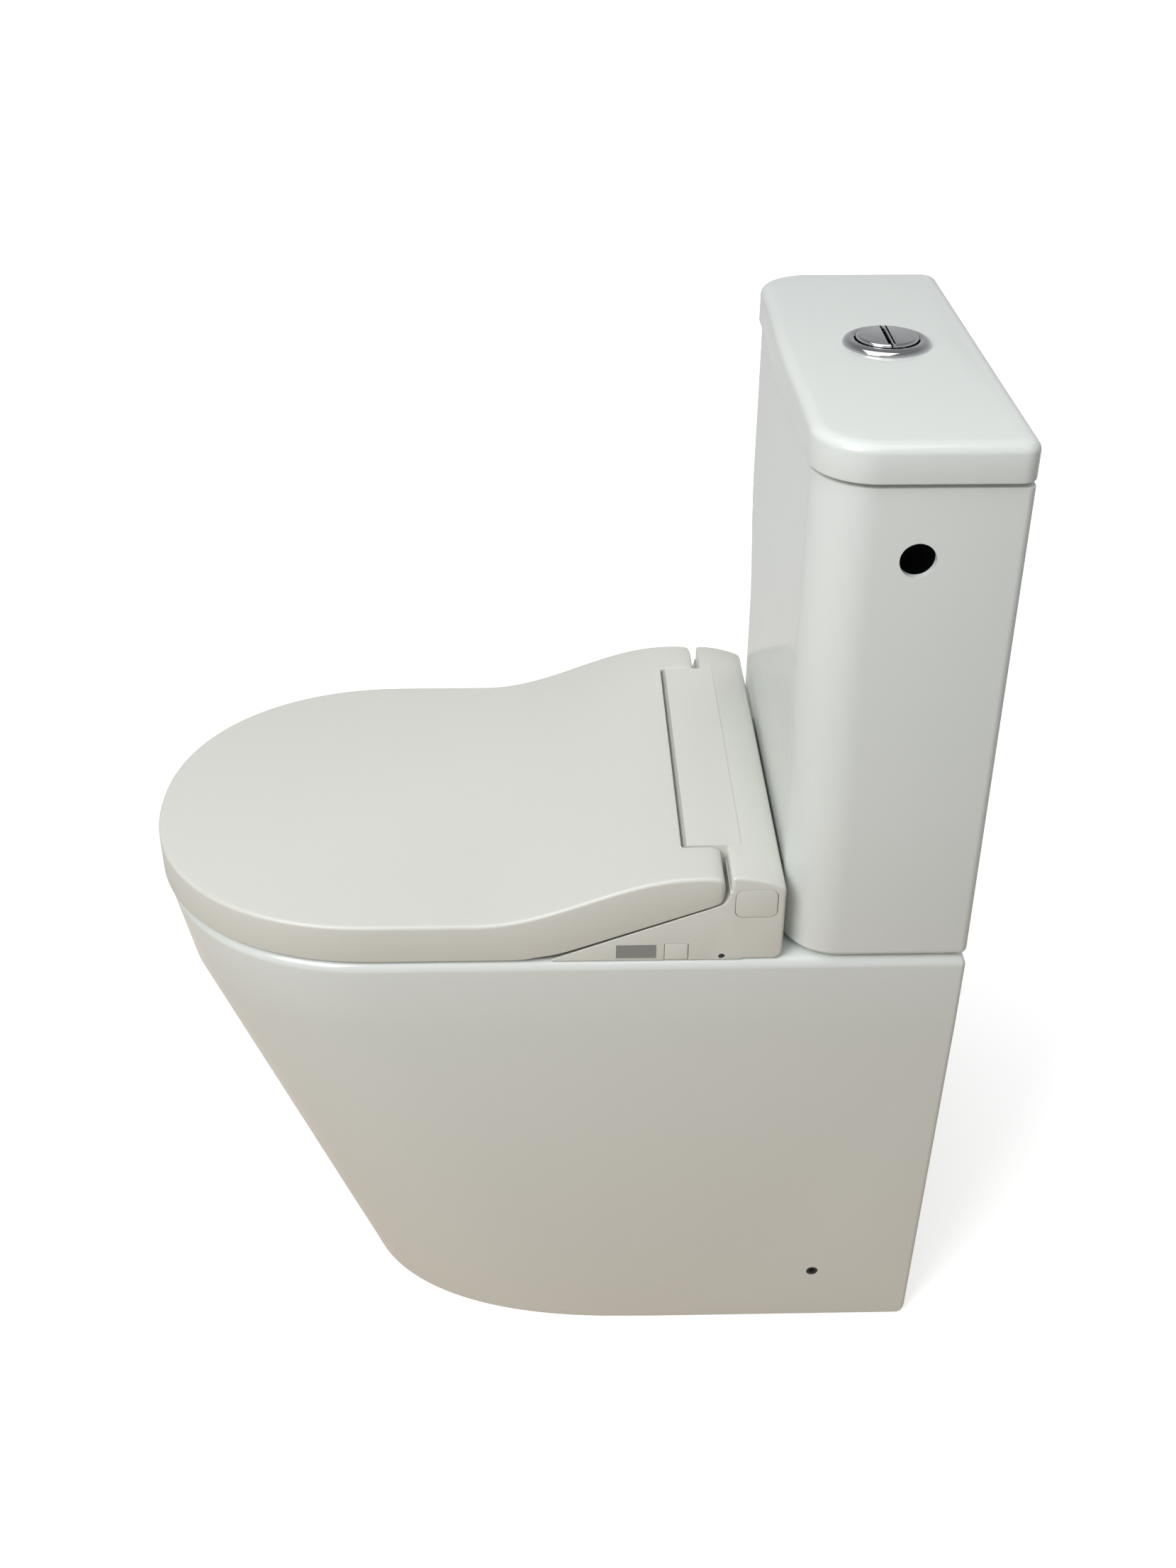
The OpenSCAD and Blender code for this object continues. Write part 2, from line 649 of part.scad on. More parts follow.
fill_column_r = 9;
fill_cap_r = 16;
fill_cap_down = 90;
fill_cap_z = cistern_top - fill_cap_down;
fill_flange_r = 20;
fill_tail_l = 46;
fill_thread_r = fill_shank_r - 0.2;
fill_thread_l = 34;
lever_z = fill_cap_z + 30;
lever_arm = 38;
lever_t = 4;
lever_w = 10;
lever_pin_r = 1.5;
float_r = 28;
float_h = 60;
float_down = 85;
float_z = fill_cap_z - float_down;
link_r = 1.5;
link_x = -fill_x + lever_arm;

module fill_valve_body() color("white") from_wall() {
    // The thread for the water hose, then the shank through the floor of the cistern
    rod_z(-fill_x, -valve_d, cistern_z - fill_tail_l, cistern_z - fill_tail_l + fill_thread_l + 1,
        fill_thread_r);
    rod_z(-fill_x, -valve_d, cistern_z - fill_tail_l + fill_thread_l, cistern_in_z + washer_t + 1,
        fill_shank_r);
    rod_z(-fill_x, -valve_d, cistern_in_z + washer_t, cistern_in_z + washer_t + 6, fill_flange_r);
    rod_z(-fill_x, -valve_d, cistern_in_z + washer_t + 5, fill_cap_z + 1, fill_column_r);
    rod_z(-fill_x, -valve_d, fill_cap_z, fill_cap_z + 20, fill_cap_r);
    // Fork and pin that carry the lever
    for (side = [-1, 1]) translate([0, -valve_d + side * (lever_w / 2 + 2.5), 0])
        box(-fill_x - 4, -fill_x + 4, -2, 2, fill_cap_z + 19, lever_z + 4);
    rod_y(-fill_x, -valve_d - lever_w / 2 - 3, -valve_d + lever_w / 2 + 3, lever_z, lever_pin_r);
}

module fill_valve_washer() color(rubber) from_wall()
    washer_z(-fill_x, -valve_d, cistern_in_z, cistern_in_z + washer_t, fill_flange_r,
        fill_shank_r + pin_fit);

module fill_valve_nut() color("white") from_wall() difference() {
    translate([-fill_x, -valve_d, cistern_z - 10]) cylinder(r = 17, h = 10, $fn = 6);
    rod_z(-fill_x, -valve_d, cistern_z - 11, cistern_z + 1, fill_shank_r + pin_fit);
}

// The float slides on the column and carries the link to the lever.
module fill_valve_float() color("steelblue") from_wall() {
    difference() {
        rod_z(-fill_x, -valve_d, float_z, float_z + float_h, float_r);
        rod_z(-fill_x, -valve_d, float_z - 1, float_z + float_h + 1, fill_column_r + loose);
        washer_z(-fill_x, -valve_d, float_z - 1, float_z + float_h - 3, float_r - 2.5,
            fill_column_r + loose + 2.5);
    }
    difference() {
        box(-fill_x + fill_column_r + loose + 1, link_x + 4, -valve_d - 4, -valve_d + 4,
            float_z + float_h - 3, float_z + float_h);
        rod_z(-fill_x, -valve_d, float_z, float_z + float_h + 1, fill_column_r + loose);
    }
    rod_z(link_x, -valve_d, float_z + float_h - 1, lever_z + lever_t + 4, link_r);
    rod_z(link_x, -valve_d, lever_z + lever_t + 3, lever_z + lever_t + 6, 2.5 * link_r);
}

module fill_valve_lever() color("lightgray") from_wall() difference() {
    union() {
        box(-fill_x, link_x + 10, -valve_d - lever_w / 2, -valve_d + lever_w / 2, lever_z - 1,
            lever_z + lever_t - 1);
        rod_y(-fill_x, -valve_d - lever_w / 2, -valve_d + lever_w / 2, lever_z, lever_t);
    }
    rod_y(-fill_x, -valve_d - lever_w, -valve_d + lever_w, lever_z, lever_pin_r + pin_fit);
    box(link_x - 5, link_x + 7, -valve_d - link_r - loose, -valve_d + link_r + loose,
        lever_z - 2, lever_z + lever_t);
}

// ---- flush buttons -------------------------------------------------------------

button_ring_h = 9;
button_top_z = lid_top + 7.5;
button_t = 3;
button_split = 0.8;
spring_floor_z = lid_top - 24;
sleeve_bore_r = button_r + seat_fit;
sleeve_l = 34;
plunger_r = 3;
half_rod_x = -rod_x0;
half_rod_y = -2 * valve_d - rocker_y;
rod_end_gap = 0.5;
rod_end_z = rocker_z + rocker_half_t + rod_end_gap;

module button_ring() color("gainsboro") from_wall() difference() {
    union() {
        translate([0, -valve_d, lid_top]) rotate_extrude() polygon(concat(
            [[sleeve_bore_r, 0], [button_ring_r, 0]],
            arc(button_ring_r - 5, 1, 5, 0, 60, 5),
            arc(sleeve_bore_r + 3, button_ring_h - 3, 3, 90, 180, 5)));
        rod_z(0, -valve_d, lid_top - sleeve_l, lid_top + 1, button_sleeve_r);
    }
    rod_z(0, -valve_d, spring_floor_z, lid_top + button_ring_h, sleeve_bore_r);
    rod_z(0, -valve_d, lid_top - sleeve_l - 1, spring_floor_z - 3, sleeve_bore_r);
    rod_z(rod_x0, rocker_y, spring_floor_z - 4, spring_floor_z + 1, plunger_r + seat_fit);
    rod_z(half_rod_x, half_rod_y, spring_floor_z - 4, spring_floor_z + 1, plunger_r + seat_fit);
}

module button_nut() color("white") from_wall() difference() {
    union() {
        rod_z(0, -valve_d, lid_under - 10, lid_under, button_sleeve_r + 6);
        for (a = [0:60:300]) translate([0, -valve_d, 0]) rotate([0, 0, a])
            box(button_sleeve_r + 4, button_sleeve_r + 9, -3, 3, lid_under - 10, lid_under - 1);
    }
    rod_z(0, -valve_d, lid_under - 11, lid_under + 1, button_sleeve_r + pin_fit);
}

// One of the pair of half-round buttons: side -1 is the front one.
module half_moon(side, x, y) from_wall() {
    difference() {
        rod_z(0, -valve_d, button_top_z - button_t, button_top_z, button_r);
        translate([0, -side * button_r, 0]) box(-button_r - 1, button_r + 1,
            -valve_d - button_r - button_split / 2, -valve_d + button_r + button_split / 2,
            button_top_z - button_t - 1, button_top_z + 1);
    }
    // Skirt that guides the button and boss that holds its rod
    difference() {
        rod_z(x, y, button_top_z - button_t - 5, button_top_z - button_t + 0.5, plunger_r + 3);
        rod_z(x, y, button_top_z - button_t - 6, button_top_z - button_t, plunger_r + pin_fit);
    }
}

module full_flush_button() color("silver") half_moon(-1, rod_x0, rocker_y);
module half_flush_button() color("silver") half_moon(1, half_rod_x, half_rod_y);

module full_flush_rod() color("white") from_wall()
    rod_z(rod_x0, rocker_y, rod_end_z, button_top_z - button_t - seat_fit, plunger_r);

module half_flush_rod() color("white") from_wall()
    rod_z(half_rod_x, half_rod_y, rod_end_z, button_top_z - button_t - seat_fit, plunger_r);

spring_wire_r = 0.5;
spring_r = plunger_r + 1.4;
spring_turns = 6;
spring_sides = 6;
spring_steps = 12;

// A coil spring, drawn as one tube along a helix.
module coil(x, y, z0, z1) {
    turns_h = z1 - z0 - 2 * spring_wire_r;
    tube([for (i = [0:spring_turns * spring_steps]) [for (k = [0:spring_sides - 1])
        let (a = 360 * i / spring_steps, b = 360 * k / spring_sides,
            r = spring_r + spring_wire_r * cos(b))
        [x + r * cos(a), y + r * sin(a), z0 + spring_wire_r * (1 + sin(b))
            + turns_h * i / spring_turns / spring_steps]]]);
}

spring_top_z = button_top_z - button_t - 5;
module full_flush_spring() color("gray") from_wall()
    coil(rod_x0, rocker_y, spring_floor_z, spring_top_z);
module half_flush_spring() color("gray") from_wall()
    coil(half_rod_x, half_rod_y, spring_floor_z, spring_top_z);

// ---- seat: shared lines --------------------------------------------------------

seat_d = pan_d + seat_lip;
hump_z = pan_h + hump_h;
lid_front_z = pan_h + seat_front_h;
lid_low_z = pan_h + lid_gap;
// Depths, from the wall, of the ends of the lid ears, of the hinge and of the slot
ear_back_d = housing_back_d + 45;
hinge_d = ear_back_d + 12;
slot_d = hinge_d + 16;
hinge_z = hump_z - 13.5;
swell_l = 175;
swell_front_d = hinge_d + swell_l;
swell_back_d = hinge_d + 7;
lid_nose_l = 187;
lid_nose_d = seat_d - lid_nose_l;
ear_round = 8;
ear_toe_r = 7;
// The straight lower edge of the ears
edge_slope = 0.375;
edge_under = 10.2;
function ear_low(d) = hinge_z - edge_under - edge_slope * (d - hinge_d + 8);
edge_end_d = hinge_d - 8 + (hinge_z - edge_under - lid_low_z) / edge_slope;

// Height of the top of the lid: level in front, then a smooth swell up to the hump.
function swell(d) = min(1, max(0, (swell_front_d - d) / (swell_front_d - swell_back_d)));
function lid_top_z(d) =
    lid_front_z + (hump_z - lid_front_z) * (1 - cos(180 * swell(d))) / 2;
swell_steps = 14;
function swell_points(inset) = [for (i = [0:swell_steps])
    let (d = swell_back_d + (swell_front_d - swell_back_d) * i / swell_steps)
    [-d, lid_top_z(d) - inset]];

module lid_outline(inset) polygon(concat(
    nose(seat_w / 2 - inset, lid_nose_d, seat_d - inset, rim_power, nose_steps),
    [[-seat_w / 2 + inset, -ear_back_d + 5], [seat_w / 2 - inset, -ear_back_d + 5]]));

// Side view of the lid: hump and top edge, nose, lower edge and rounded ear.
module lid_side() polygon(concat(
    arc(-ear_back_d - ear_round, hump_z - ear_round, ear_round, 0, 90, 5),
    swell_points(0),
    [[-seat_d + 2, lid_front_z], [-seat_d, lid_front_z - 2], [-seat_d, lid_low_z],
        [-edge_end_d - 22, lid_low_z], [-edge_end_d + 2, lid_low_z + 2.2],
        [-ear_back_d - ear_toe_r, ear_low(ear_back_d + ear_toe_r)]],
    arc(-ear_back_d - ear_toe_r, ear_low(ear_back_d + ear_toe_r) + ear_toe_r, ear_toe_r,
        -66, 0, 4)));

// Side view of the space inside the lid, open below.
module lid_inside() polygon(concat(
    arc(-ear_back_d - ear_round, hump_z - ear_round, ear_round - lid_t, 0, 90, 4),
    swell_points(lid_t),
    [[-seat_d, lid_front_z - lid_t], [-seat_d, lid_low_z - 5],
        [-ear_back_d - lid_t, lid_low_z - 5]]));

ear_in_x = ear_span / 2;
ear_wall_t = 3.5;
lug_r = 8.2;
lug_x0 = ear_in_x + ear_wall_t + 1.5;
lug_x1 = lug_x0 + 12;
boss_x0 = lug_x1 + 2;
pin_end_x = seat_w / 2 - 10;

module seat_lid() color(white_plastic) from_wall() difference() {
    union() {
        difference() {
            intersection() {
                slab(lid_low_z - 5, hump_z) lid_outline(0);
                along_x(-seat_w / 2, seat_w / 2) lid_side();
            }
            difference() {
                intersection() {
                    slab(lid_low_z - 6, hump_z) lid_outline(lid_t);
                    along_x(-seat_w / 2 + lid_t, seat_w / 2 - lid_t) lid_inside();
                }
                both_sides() box(ear_in_x, ear_in_x + ear_wall_t, -slot_d - 9, 0, 0,
                    hump_z + 1);
            }
            // The space between the ears, behind the slot
            box(-ear_in_x, ear_in_x, -slot_d - 2, 0, 0, hump_z + 1);
            // The back wall stops at the hinge, so that the arm of the ring stays clear
            both_sides() box(ear_in_x + ear_wall_t, boss_x0, -hinge_d, 0, 0, hinge_z);
        }
        both_sides() {
            rod_x(boss_x0, seat_w / 2 - 1, -hinge_d, hinge_z, lug_r);
            box(boss_x0, seat_w / 2 - 1, -hinge_d - 2, -hinge_d + 2, hinge_z, hump_z - 1);
        }
    }
    both_sides() rod_x(ear_in_x - 1, pin_end_x + seat_fit, -hinge_d, hinge_z, pin_r + pin_fit);
}

buffer_r = 8;
buffer_side_in = 40;
buffer_nose_in = 62;
buffer_front_in = 70;
module lid_buffers() color("white") from_wall() both_sides()
    for (p = [[seat_w / 2 - buffer_side_in, lid_nose_d - buffer_side_in],
            [seat_w / 2 - buffer_nose_in, seat_d - buffer_front_in]])
        rod_z(p[0], -p[1], pan_h + ring_lift + ring_t + seat_fit, lid_front_z - lid_t, buffer_r);

// ---- seat ring -----------------------------------------------------------------

ring_w = seat_w - 2 * lid_t - 2 * ring_gap;
ring_front_d = seat_d - lid_t - ring_gap;
ring_z0 = pan_h + ring_lift;
ring_z1 = ring_z0 + ring_t;
ring_behind_opening = 32;
ring_back_d = bowl_back_d + 10;
ring_back_w = 2 * lug_x1;
ring_shoulder_d = ring_back_d + 50;
ring_open_back_d = ring_back_d + ring_behind_opening;
ring_open_l = ring_front_d - ring_front_w - ring_open_back_d;
ring_open_mid_d = ring_open_back_d + ring_open_l / 2;
ring_skin = 3;
arm_half_t = 6;
arm_root_d = ring_back_d + 30;
wand_relief_w = 56;
wand_relief_h = 10;

module ring_outline(inset) polygon(concat(
    nose(ring_w / 2 - inset, lid_nose_d, ring_front_d - inset, rim_power, nose_steps),
    [[-ring_w / 2 + inset, -ring_shoulder_d - 22], [-ring_back_w / 2 + inset, -ring_shoulder_d],
        [-ring_back_w / 2 + inset, -ring_back_d - inset],
        [ring_back_w / 2 - inset, -ring_back_d - inset],
        [ring_back_w / 2 - inset, -ring_shoulder_d], [ring_w / 2 - inset, -ring_shoulder_d - 22]]));

module ring_hole(inset) translate([0, -ring_open_mid_d])
    polygon(oval(ring_open_w / 2 + inset, ring_open_l / 2 + inset, 2.2, 48));

// Room above the tips of the spray wands, under the back of the ring
module wand_relief(extra) box(-wand_relief_w / 2 - extra, wand_relief_w / 2 + extra,
    -ring_open_mid_d, -ring_back_d + 1, ring_z0 - 1, ring_z0 + wand_relief_h + extra);

// Upper moulding of the ring with the two hinge arms.
module seat_ring() color(white_plastic) from_wall() difference() {
    union() {
        difference() {
            slab(ring_z0, ring_t) difference() {
                ring_outline(0);
                ring_hole(0);
            }
            difference() {
                slab(ring_z0 - 1, ring_t - ring_skin + 1) difference() {
                    ring_outline(ring_skin);
                    ring_hole(ring_skin);
                }
                wand_relief(ring_skin);
                // Solid roots under the arms
                both_sides() box(lug_x0 - 2, lug_x1 + 1, -arm_root_d, -ring_back_d, 0, ring_z1);
            }
        }
        both_sides() {
            rod_x(lug_x0, lug_x1, -hinge_d, hinge_z, lug_r);
            hull() {
                rod_x(lug_x0, lug_x1, -hinge_d, hinge_z, arm_half_t, $fn = 32);
                rod_x(lug_x0, lug_x1, -arm_root_d, ring_z0 + ring_t / 2, arm_half_t, $fn = 32);
            }
        }
    }
    both_sides() rod_x(lug_x0 - 1, lug_x1 + 1, -hinge_d, hinge_z, pin_r + pin_fit);
    wand_relief(0);
}

// Lower cover of the ring, welded into the upper moulding.
module seat_ring_base() color("white") from_wall() difference() {
    slab(ring_z0, ring_skin) difference() {
        ring_outline(ring_skin + pin_fit);
        ring_hole(ring_skin + pin_fit);
    }
    wand_relief(ring_skin + pin_fit);
    both_sides() box(lug_x0 - 2 - pin_fit, lug_x1 + 1, -arm_root_d - pin_fit, -ring_back_d, 0,
        ring_z1);
}

module ring_buffers() color("gainsboro") from_wall() both_sides()
    for (p = [[ring_w / 2 - buffer_side_in + buffer_r, lid_nose_d - buffer_nose_in + 2],
            [ring_w / 2 - buffer_nose_in, ring_front_d - buffer_nose_in]])
        rod_z(p[0], -p[1], pan_h + seat_fit, ring_z0, buffer_r);

// ---- hinge ---------------------------------------------------------------------

damper_r = 9.5;
damper_l = 34;
cover_side_x = ear_in_x - 1.5;
damper_x1 = cover_side_x - housing_t - 0.5;
damper_x0 = damper_x1 - damper_l;
pin_start_x = damper_x1 - 14;

// The lid turns with the pin on the right, the ring with the pin on the left.
module lid_hinge_pin() color("silver") from_wall()
    rod_x(pin_start_x, pin_end_x, -hinge_d, hinge_z, pin_r);
module ring_hinge_pin() color("silver") from_wall() mirror([1, 0, 0])
    rod_x(pin_start_x, pin_end_x, -hinge_d, hinge_z, pin_r);

module hinge_dampers() color("darkgray") from_wall() both_sides() difference() {
    union() {
        rod_x(damper_x0, damper_x1, -hinge_d, hinge_z, damper_r);
        box(damper_x0, damper_x1, -hinge_d - 5, -hinge_d + 5, base_top_z, hinge_z);
    }
    rod_x(pin_start_x - seat_fit, damper_x1 + 1, -hinge_d, hinge_z, pin_r + pin_fit);
}

// ---- seat housing --------------------------------------------------------------

plate_t = 4;
plate_w = 200;
base_floor_z = pan_h + 8;
base_floor_t = 3;
base_top_z = base_floor_z + base_floor_t;
wedge_from_swell = 59;
wedge_tip_d = swell_front_d - wedge_from_swell;
wedge_in_x = lug_x1 + 2;
wedge_gap = 2;
bay_r = 15.5;
bay_back_d = ear_back_d - 4.5;

// Side views of the three parts of the cover; inset draws the space inside it.
module cover_back(inset) polygon([[-housing_back_d - inset, pan_h - inset],
    [-housing_back_d - inset, hump_z - 22], [-housing_back_d - 1.5 - inset, hump_z - 13],
    [-housing_back_d - 6 - inset, hump_z - 8 - inset],
    [-housing_back_d - 17, hump_z - 3 - inset], [-housing_back_d - 28, hump_z - 0.8 - inset],
    [-bay_back_d + 2 + inset, hump_z - inset], [-bay_back_d + inset, hump_z - 2 - inset],
    [-bay_back_d + inset, pan_h - inset]]);

module cover_middle(inset) polygon([[-bay_back_d + 10, pan_h - inset],
    [-bay_back_d + 10, hump_z - inset], [-slot_d + 3.5 + inset, hump_z - inset],
    [-slot_d + 1.5 + inset, hump_z - 2 - inset], [-slot_d - 22 + inset, hump_z - 26],
    [-housing_front_d + inset, hump_z - 52], [-housing_front_d + inset, pan_h - inset]]);

// The wedge under the ear: a round bay about the hinge, then the line of the ear's edge.
module cover_wedge(inset, tip_d) intersection() {
    difference() {
        polygon([[-bay_back_d + 10, pan_h - inset], [-bay_back_d + 10, hinge_z - inset],
            [-hinge_d, hinge_z - inset], [-ear_back_d, ear_low(ear_back_d) - wedge_gap - inset],
            [-tip_d - 10, ear_low(tip_d + 10) - wedge_gap - inset], [-tip_d - 10, pan_h - inset]]);
        translate([-hinge_d, hinge_z]) circle(r = bay_r + inset);
    }
    translate([-tip_d + inset, pan_h - inset]) square([tip_d, hump_h]);
}

module cover_form(inset) {
    along_x(-housing_w / 2 + inset, housing_w / 2 - inset) cover_back(inset);
    along_x(-cover_side_x + inset, cover_side_x - inset) cover_middle(inset);
    both_sides() {
        along_x(cover_side_x - 2 * housing_t, wedge_in_x + 2 * inset)
            cover_wedge(inset, housing_front_d);
        along_x(wedge_in_x + inset, housing_w / 2 - inset) cover_wedge(inset, wedge_tip_d);
    }
}

cap_d0 = housing_back_d + 6;
cap_w = 31;
cap_h = 24.5;
cap_z = hump_z - 36;
cap_r = 6;
cap_t = 2.4;
fit_gap = 0.4;

// The rounded rectangle of the side caps, drawn exactly; grow widens it on every side.
module cap_shape(grow) {
    translate([-cap_d0 - cap_w - grow, cap_z + cap_r]) square([cap_w + 2 * grow, cap_h - 2 * cap_r]);
    translate([-cap_d0 - cap_w + cap_r, cap_z - grow])
        square([cap_w - 2 * cap_r, cap_h + 2 * grow]);
    for (y = [-cap_d0 - cap_w + cap_r, -cap_d0 - cap_r], z = [cap_z + cap_r, cap_z + cap_h - cap_r])
        translate([y, z]) circle(r = cap_r + grow);
}

release_d0 = slot_d - 2;
release_w = 17.5;
release_h = 14.5;
release_stem = 14;
pinhole_r = 2.2;
pinhole_d = ear_back_d + 0.5;
wand_slot_w = wand_pitch + 2 * wand_r + 9;
wand_slot_h = 26;

module release_shape(grow) translate([-release_d0 - release_w - grow, pan_h + seat_fit])
    square([release_w + 2 * grow, release_h + grow - seat_fit]);

module housing_cover() color(white_plastic) from_wall() difference() {
    cover_form(0);
    cover_form(housing_t);
    box(-wand_slot_w / 2, wand_slot_w / 2, -housing_front_d - 1, -housing_front_d + 2 * housing_t,
        pan_h - 1, pan_h + wand_slot_h);
    both_sides() {
        rod_x(cover_side_x - housing_t - 1, cover_side_x + 1, -hinge_d, hinge_z, pin_r + loose);
        along_x(housing_w / 2 - housing_t - 1, housing_w / 2 + 1) cap_shape(fit_gap);
    }
    along_x(housing_w / 2 - housing_t - 1, housing_w / 2 + 1) release_shape(fit_gap);
    rod_x(housing_w / 2 - housing_t - 1, housing_w / 2 + 1, -pinhole_d, pan_h + pinhole_r + 0.5,
        pinhole_r);
}

// Flush caps over the hinge adjusters, each with a lip behind the wall of the cover.
module housing_side_caps() color(white_plastic) from_wall() both_sides() {
    along_x(housing_w / 2 - cap_t, housing_w / 2) cap_shape(0);
    along_x(housing_w / 2 - housing_t - 1.5, housing_w / 2 - cap_t) cap_shape(-1);
    along_x(housing_w / 2 - housing_t - 1.5, housing_w / 2 - housing_t) difference() {
        cap_shape(0.8);
        cap_shape(-3);
    }
}

label_w = 30;
label_h = 12;
label_d0 = slot_d + 22;
label_z = pan_h + 2.5;
module blank_label() color("gray") from_wall()
    box(housing_w / 2, housing_w / 2 + 0.3, -label_d0 - label_w, -label_d0, label_z,
        label_z + label_h);

module release_button() color(white_plastic) from_wall() {
    along_x(housing_w / 2 - housing_t, housing_w / 2) release_shape(0);
    box(housing_w / 2 - housing_t - release_stem, housing_w / 2 - housing_t + 1,
        -release_d0 - release_w / 2 - 4, -release_d0 - release_w / 2 + 4, pan_h + 2, pan_h + 7);
}

// Chassis of the housing: a floor on ribs that stand on the deck.
base_rib_t = 3;
base_x = housing_w / 2 - housing_t - 4.5;
base_back_d = housing_back_d + housing_t + 0.5;
base_front_d = housing_front_d - housing_t - 0.5;
plate_room = 1;
module housing_base() color("whitesmoke") from_wall() difference() {
    union() {
        box(-base_x, base_x, -base_front_d, -base_back_d, base_floor_z, base_top_z);
        both_sides() box(base_x - base_rib_t, base_x, -base_front_d, -base_back_d, pan_h,
            base_floor_z + 1);
        for (y = [-base_front_d, -base_back_d - base_rib_t])
            box(-base_x, base_x, y, y + base_rib_t, pan_h, base_floor_z + 1);
        // Cheeks that grip the seat plate, and guides of the release button
        both_sides() box(plate_w / 2 + plate_room, plate_w / 2 + plate_room + base_rib_t,
            -base_front_d, -base_back_d, pan_h, base_floor_z + 1);
        for (y = [-release_d0 - release_w / 2 - 4 - fit_gap - 2, -release_d0 - release_w / 2 + 4 + fit_gap])
            box(base_x - 12, base_x, y, y + 2, pan_h, base_floor_z + 1);
    }
    // Clear way for the wands, the release button and the two services
    box(-wand_slot_w / 2, wand_slot_w / 2, -base_front_d - 1, -base_front_d + 34, pan_h - 1,
        base_top_z + 1);
    box(base_x - base_rib_t - 1, base_x + 1, -release_d0 - release_w / 2 - 4 - fit_gap,
        -release_d0 - release_w / 2 + 4 + fit_gap, pan_h - 1, base_floor_z);
    both_sides() rod_z(service_x, -service_d, pan_h - 1, base_top_z + 1, gland_r + pin_fit);
}

// ---- seat fixing ---------------------------------------------------------------

plate_d0 = seat_hole_d - 24;
plate_l = 48;
seat_bolt_r = 4;
seat_bolt_l = 42;
seat_bolt_head_t = 3;

module seat_plate() color("gainsboro") from_wall() difference() {
    box(-plate_w / 2, plate_w / 2, -plate_d0 - plate_l, -plate_d0, pan_h, pan_h + plate_t);
    both_sides() rod_z(seat_hole_pitch / 2, -seat_hole_d, pan_h - 1, pan_h + plate_t + 1,
        seat_bolt_r + pin_fit);
    box(-channel_w / 2, channel_w / 2, -plate_d0 - plate_l - 1, -plate_d0 - plate_l + 14,
        pan_h - 1, pan_h + plate_t + 1);
}

module seat_bolts() color("silver") from_wall() both_sides() {
    rod_z(seat_hole_pitch / 2, -seat_hole_d, pan_h + plate_t - seat_bolt_l, pan_h + plate_t + 1,
        seat_bolt_r);
    rod_z(seat_hole_pitch / 2, -seat_hole_d, pan_h + plate_t,
        pan_h + plate_t + seat_bolt_head_t, 1.8 * seat_bolt_r);
}

// Rubber bushes that swell under the deck when the seat bolts are tightened.
module seat_bushes() color(rubber) from_wall() both_sides() difference() {
    union() {
        rod_z(seat_hole_pitch / 2, -seat_hole_d, pan_h - deck_t - 18, pan_h,
            seat_hole_r - pin_fit);
        rod_z(seat_hole_pitch / 2, -seat_hole_d, pan_h - deck_t - 18, pan_h - deck_t - 3,
            seat_hole_r + 3);
    }
    rod_z(seat_hole_pitch / 2, -seat_hole_d, pan_h - deck_t - 19, pan_h + 1,
        seat_bolt_r + pin_fit);
}

// ---- wash unit -----------------------------------------------------------------

// The wands leave the housing here and run back uphill.
wand_tip_d = housing_front_d;
wand_tip_z = pan_h + 8;
guide_wall = 3;
guide_l = 80;
guide_start = 14;

// Places children so that their -Y axis points down the slope of the wands.
module on_wand_line() translate([0, -wand_tip_d, wand_tip_z]) rotate([wand_slope, 0, 0])
    children();

module wand(x) from_wall() on_wand_line() {
    difference() {
        rod_y(x, 2, wand_l, 0, wand_r);
        rod_y(x, guide_l, wand_l + 1, 0, wand_r - 2);
        rod_z(x, 9, 0, wand_r + 1, 1.2);
    }
    rod_y(x, 0, 2, 0, wand_r + 0.6);
}

module rear_wand() color("white") wand(-wand_pitch / 2);
module front_wand() color("white") wand(wand_pitch / 2);

guide_half_w = wand_pitch / 2 + wand_r + fit_gap + guide_wall;
module wand_guide() color("lightgray") from_wall() difference() {
    union() {
        on_wand_line() box(-guide_half_w, guide_half_w, guide_start, guide_start + guide_l,
            -wand_r - fit_gap - guide_wall, wand_r + fit_gap + guide_wall / 2);
        // Feet that stand the guide on the floor of the housing
        both_sides() box(guide_half_w - 3, guide_half_w + 4, -wand_tip_d + 56,
            -wand_tip_d + 64, base_top_z, wand_tip_z + 56 * tan(wand_slope));
    }
    on_wand_line() for (side = [-1, 1])
        rod_y(side * wand_pitch / 2, guide_start - 1, guide_start + guide_l + 1, 0,
            wand_r + fit_gap);
}

motor_r = 9;
motor_l = 18;
motor_d = housing_back_d + 24;
motor_z = base_top_z + motor_r + 12;
module wand_motors() color("slategray") from_wall() both_sides() {
    rod_x(guide_half_w + 1, guide_half_w + 1 + motor_l, -motor_d, motor_z, motor_r);
    box(guide_half_w + 1, guide_half_w + 3, -motor_d - motor_r, -motor_d + motor_r, base_top_z,
        motor_z);
}

heater_x0 = guide_half_w + motor_l + 6;
heater_room = 11.3;
heater_w = damper_x0 - heater_room - heater_x0;
heater_pipe_in = 12;
heater_pipe_r = 4;
heater_d0 = base_back_d + 4;
heater_l = 56;
heater_h = 44;
module water_heater() color("peru") from_wall() {
    box(heater_x0, heater_x0 + heater_w, -heater_d0 - heater_l, -heater_d0, base_top_z,
        base_top_z + heater_h);
    for (x = [heater_x0 + heater_pipe_in, heater_x0 + heater_w - heater_pipe_in])
        rod_z(x, -heater_d0 - heater_pipe_in, base_top_z + heater_h - 1,
            base_top_z + heater_h + 2 * heater_pipe_r, heater_pipe_r);
}

